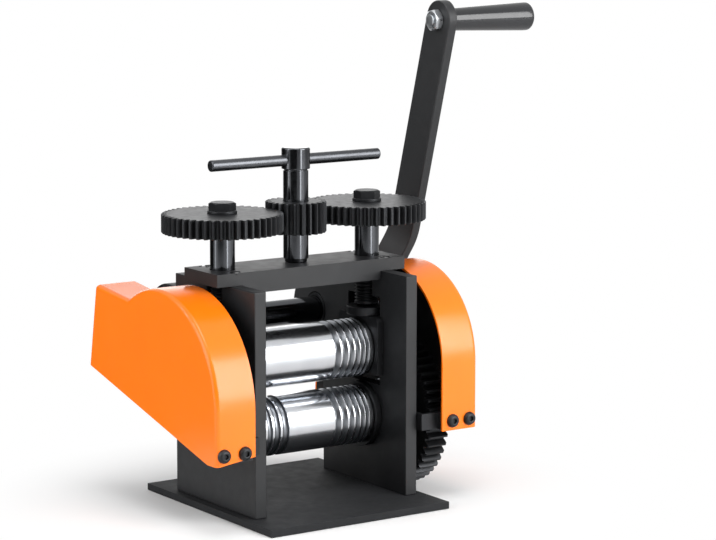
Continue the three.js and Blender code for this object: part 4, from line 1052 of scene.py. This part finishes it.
def makeWorld(look):
    # Strength 1, which is white, for the camera, gloss and glass, and the fill for all other light
    world = bpy.data.worlds.new("studio")
    bpy.context.scene.world = world
    world.use_nodes = True
    tree = world.node_tree
    tree.nodes.clear()
    path = addNode(tree, "ShaderNodeLightPath")
    first = addNode(tree, "ShaderNodeMath", {0: path.outputs["Is Camera Ray"], 1: path.outputs["Is Glossy Ray"]},
                    operation="MAXIMUM")
    shown = addNode(tree, "ShaderNodeMath", {0: first.outputs["Value"], 1: path.outputs["Is Transmission Ray"]},
                    operation="MAXIMUM")
    strength = addNode(tree, "ShaderNodeMapRange", {"Value": shown.outputs["Value"], "To Min": look["fill"],
                                                    "To Max": 1.0})
    background = addNode(tree, "ShaderNodeBackground", {"Color": (1, 1, 1, 1),
                                                        "Strength": strength.outputs["Result"]})
    addNode(tree, "ShaderNodeOutputWorld", {"Surface": background.outputs["Background"]})


def addLamp(name, look):
    # Softbox that faces the aim, a distance away along (sin b cos r, -cos b cos r, sin r): b is its bearing from the
    # front towards +X, and r its rise
    data = bpy.data.lights.new(name, "AREA")
    data.shape = "RECTANGLE"
    data.size, data.size_y = look["size"]
    data.energy = look["power"]
    lamp = bpy.data.objects.new(name, data)
    bearing, rise = math.radians(look["bearing"]), math.radians(look["rise"])
    direction = np.array([math.sin(bearing) * math.cos(rise), -math.cos(bearing) * math.cos(rise), math.sin(rise)])
    lamp.location = np.array(lampAim) + direction * look["distance"]
    lamp.rotation_euler = (math.pi / 2 - rise, 0, bearing)
    lamp.visible_camera = False
    bpy.context.scene.collection.objects.link(lamp)


floorLook = {"radius": 3, "corners": 64, "height": -0.0002, "dark": "#f4f4f4", "light": "#f9f9f9", "clouds": 30.0,
             "rough": 0.9, "shadow": 0.065, "edge": 0.17}
darkCloths = {
    "frontCloth": {"bearing": -50, "foot": 0.95, "head": 0.95, "spread": 28, "height": 0.6},
    "rearCloth": {"bearing": -148, "foot": 0.2, "head": 1.0, "spread": 32, "height": 0.5},
}
lampAim = (0, 0, 0.09)
lamps = {
    "frontSoftbox": {"bearing": 32, "rise": 20, "distance": 1.5, "size": (0.6, 1.0), "power": 15},
    "frontStrip": {"bearing": 12, "rise": 18, "distance": 0.8, "size": (0.16, 0.8), "power": 2.6},
    "leftStrip": {"bearing": -98, "rise": 18, "distance": 0.8, "size": (0.08, 0.8), "power": 1.1},
    "leftSoftbox": {"bearing": -80, "rise": 25, "distance": 1.5, "size": (0.9, 0.9), "power": 7},
    "topSoftbox": {"bearing": -20, "rise": 72, "distance": 1.3, "size": (0.6, 0.6), "power": 6},
    "rearStrip": {"bearing": -122, "rise": 20, "distance": 1.3, "size": (0.12, 1.0), "power": 3},
    "backGlow": {"bearing": 146, "rise": 10, "distance": 1.6, "size": (1.6, 0.5), "power": 3.2},
}
makeFloor(floorLook)
for name, look in darkCloths.items():
    addDarkCloth(name, look)
makeWorld({"fill": 0.25})
for name, look in lamps.items():
    addLamp(name, look)
print("floor and light ready")
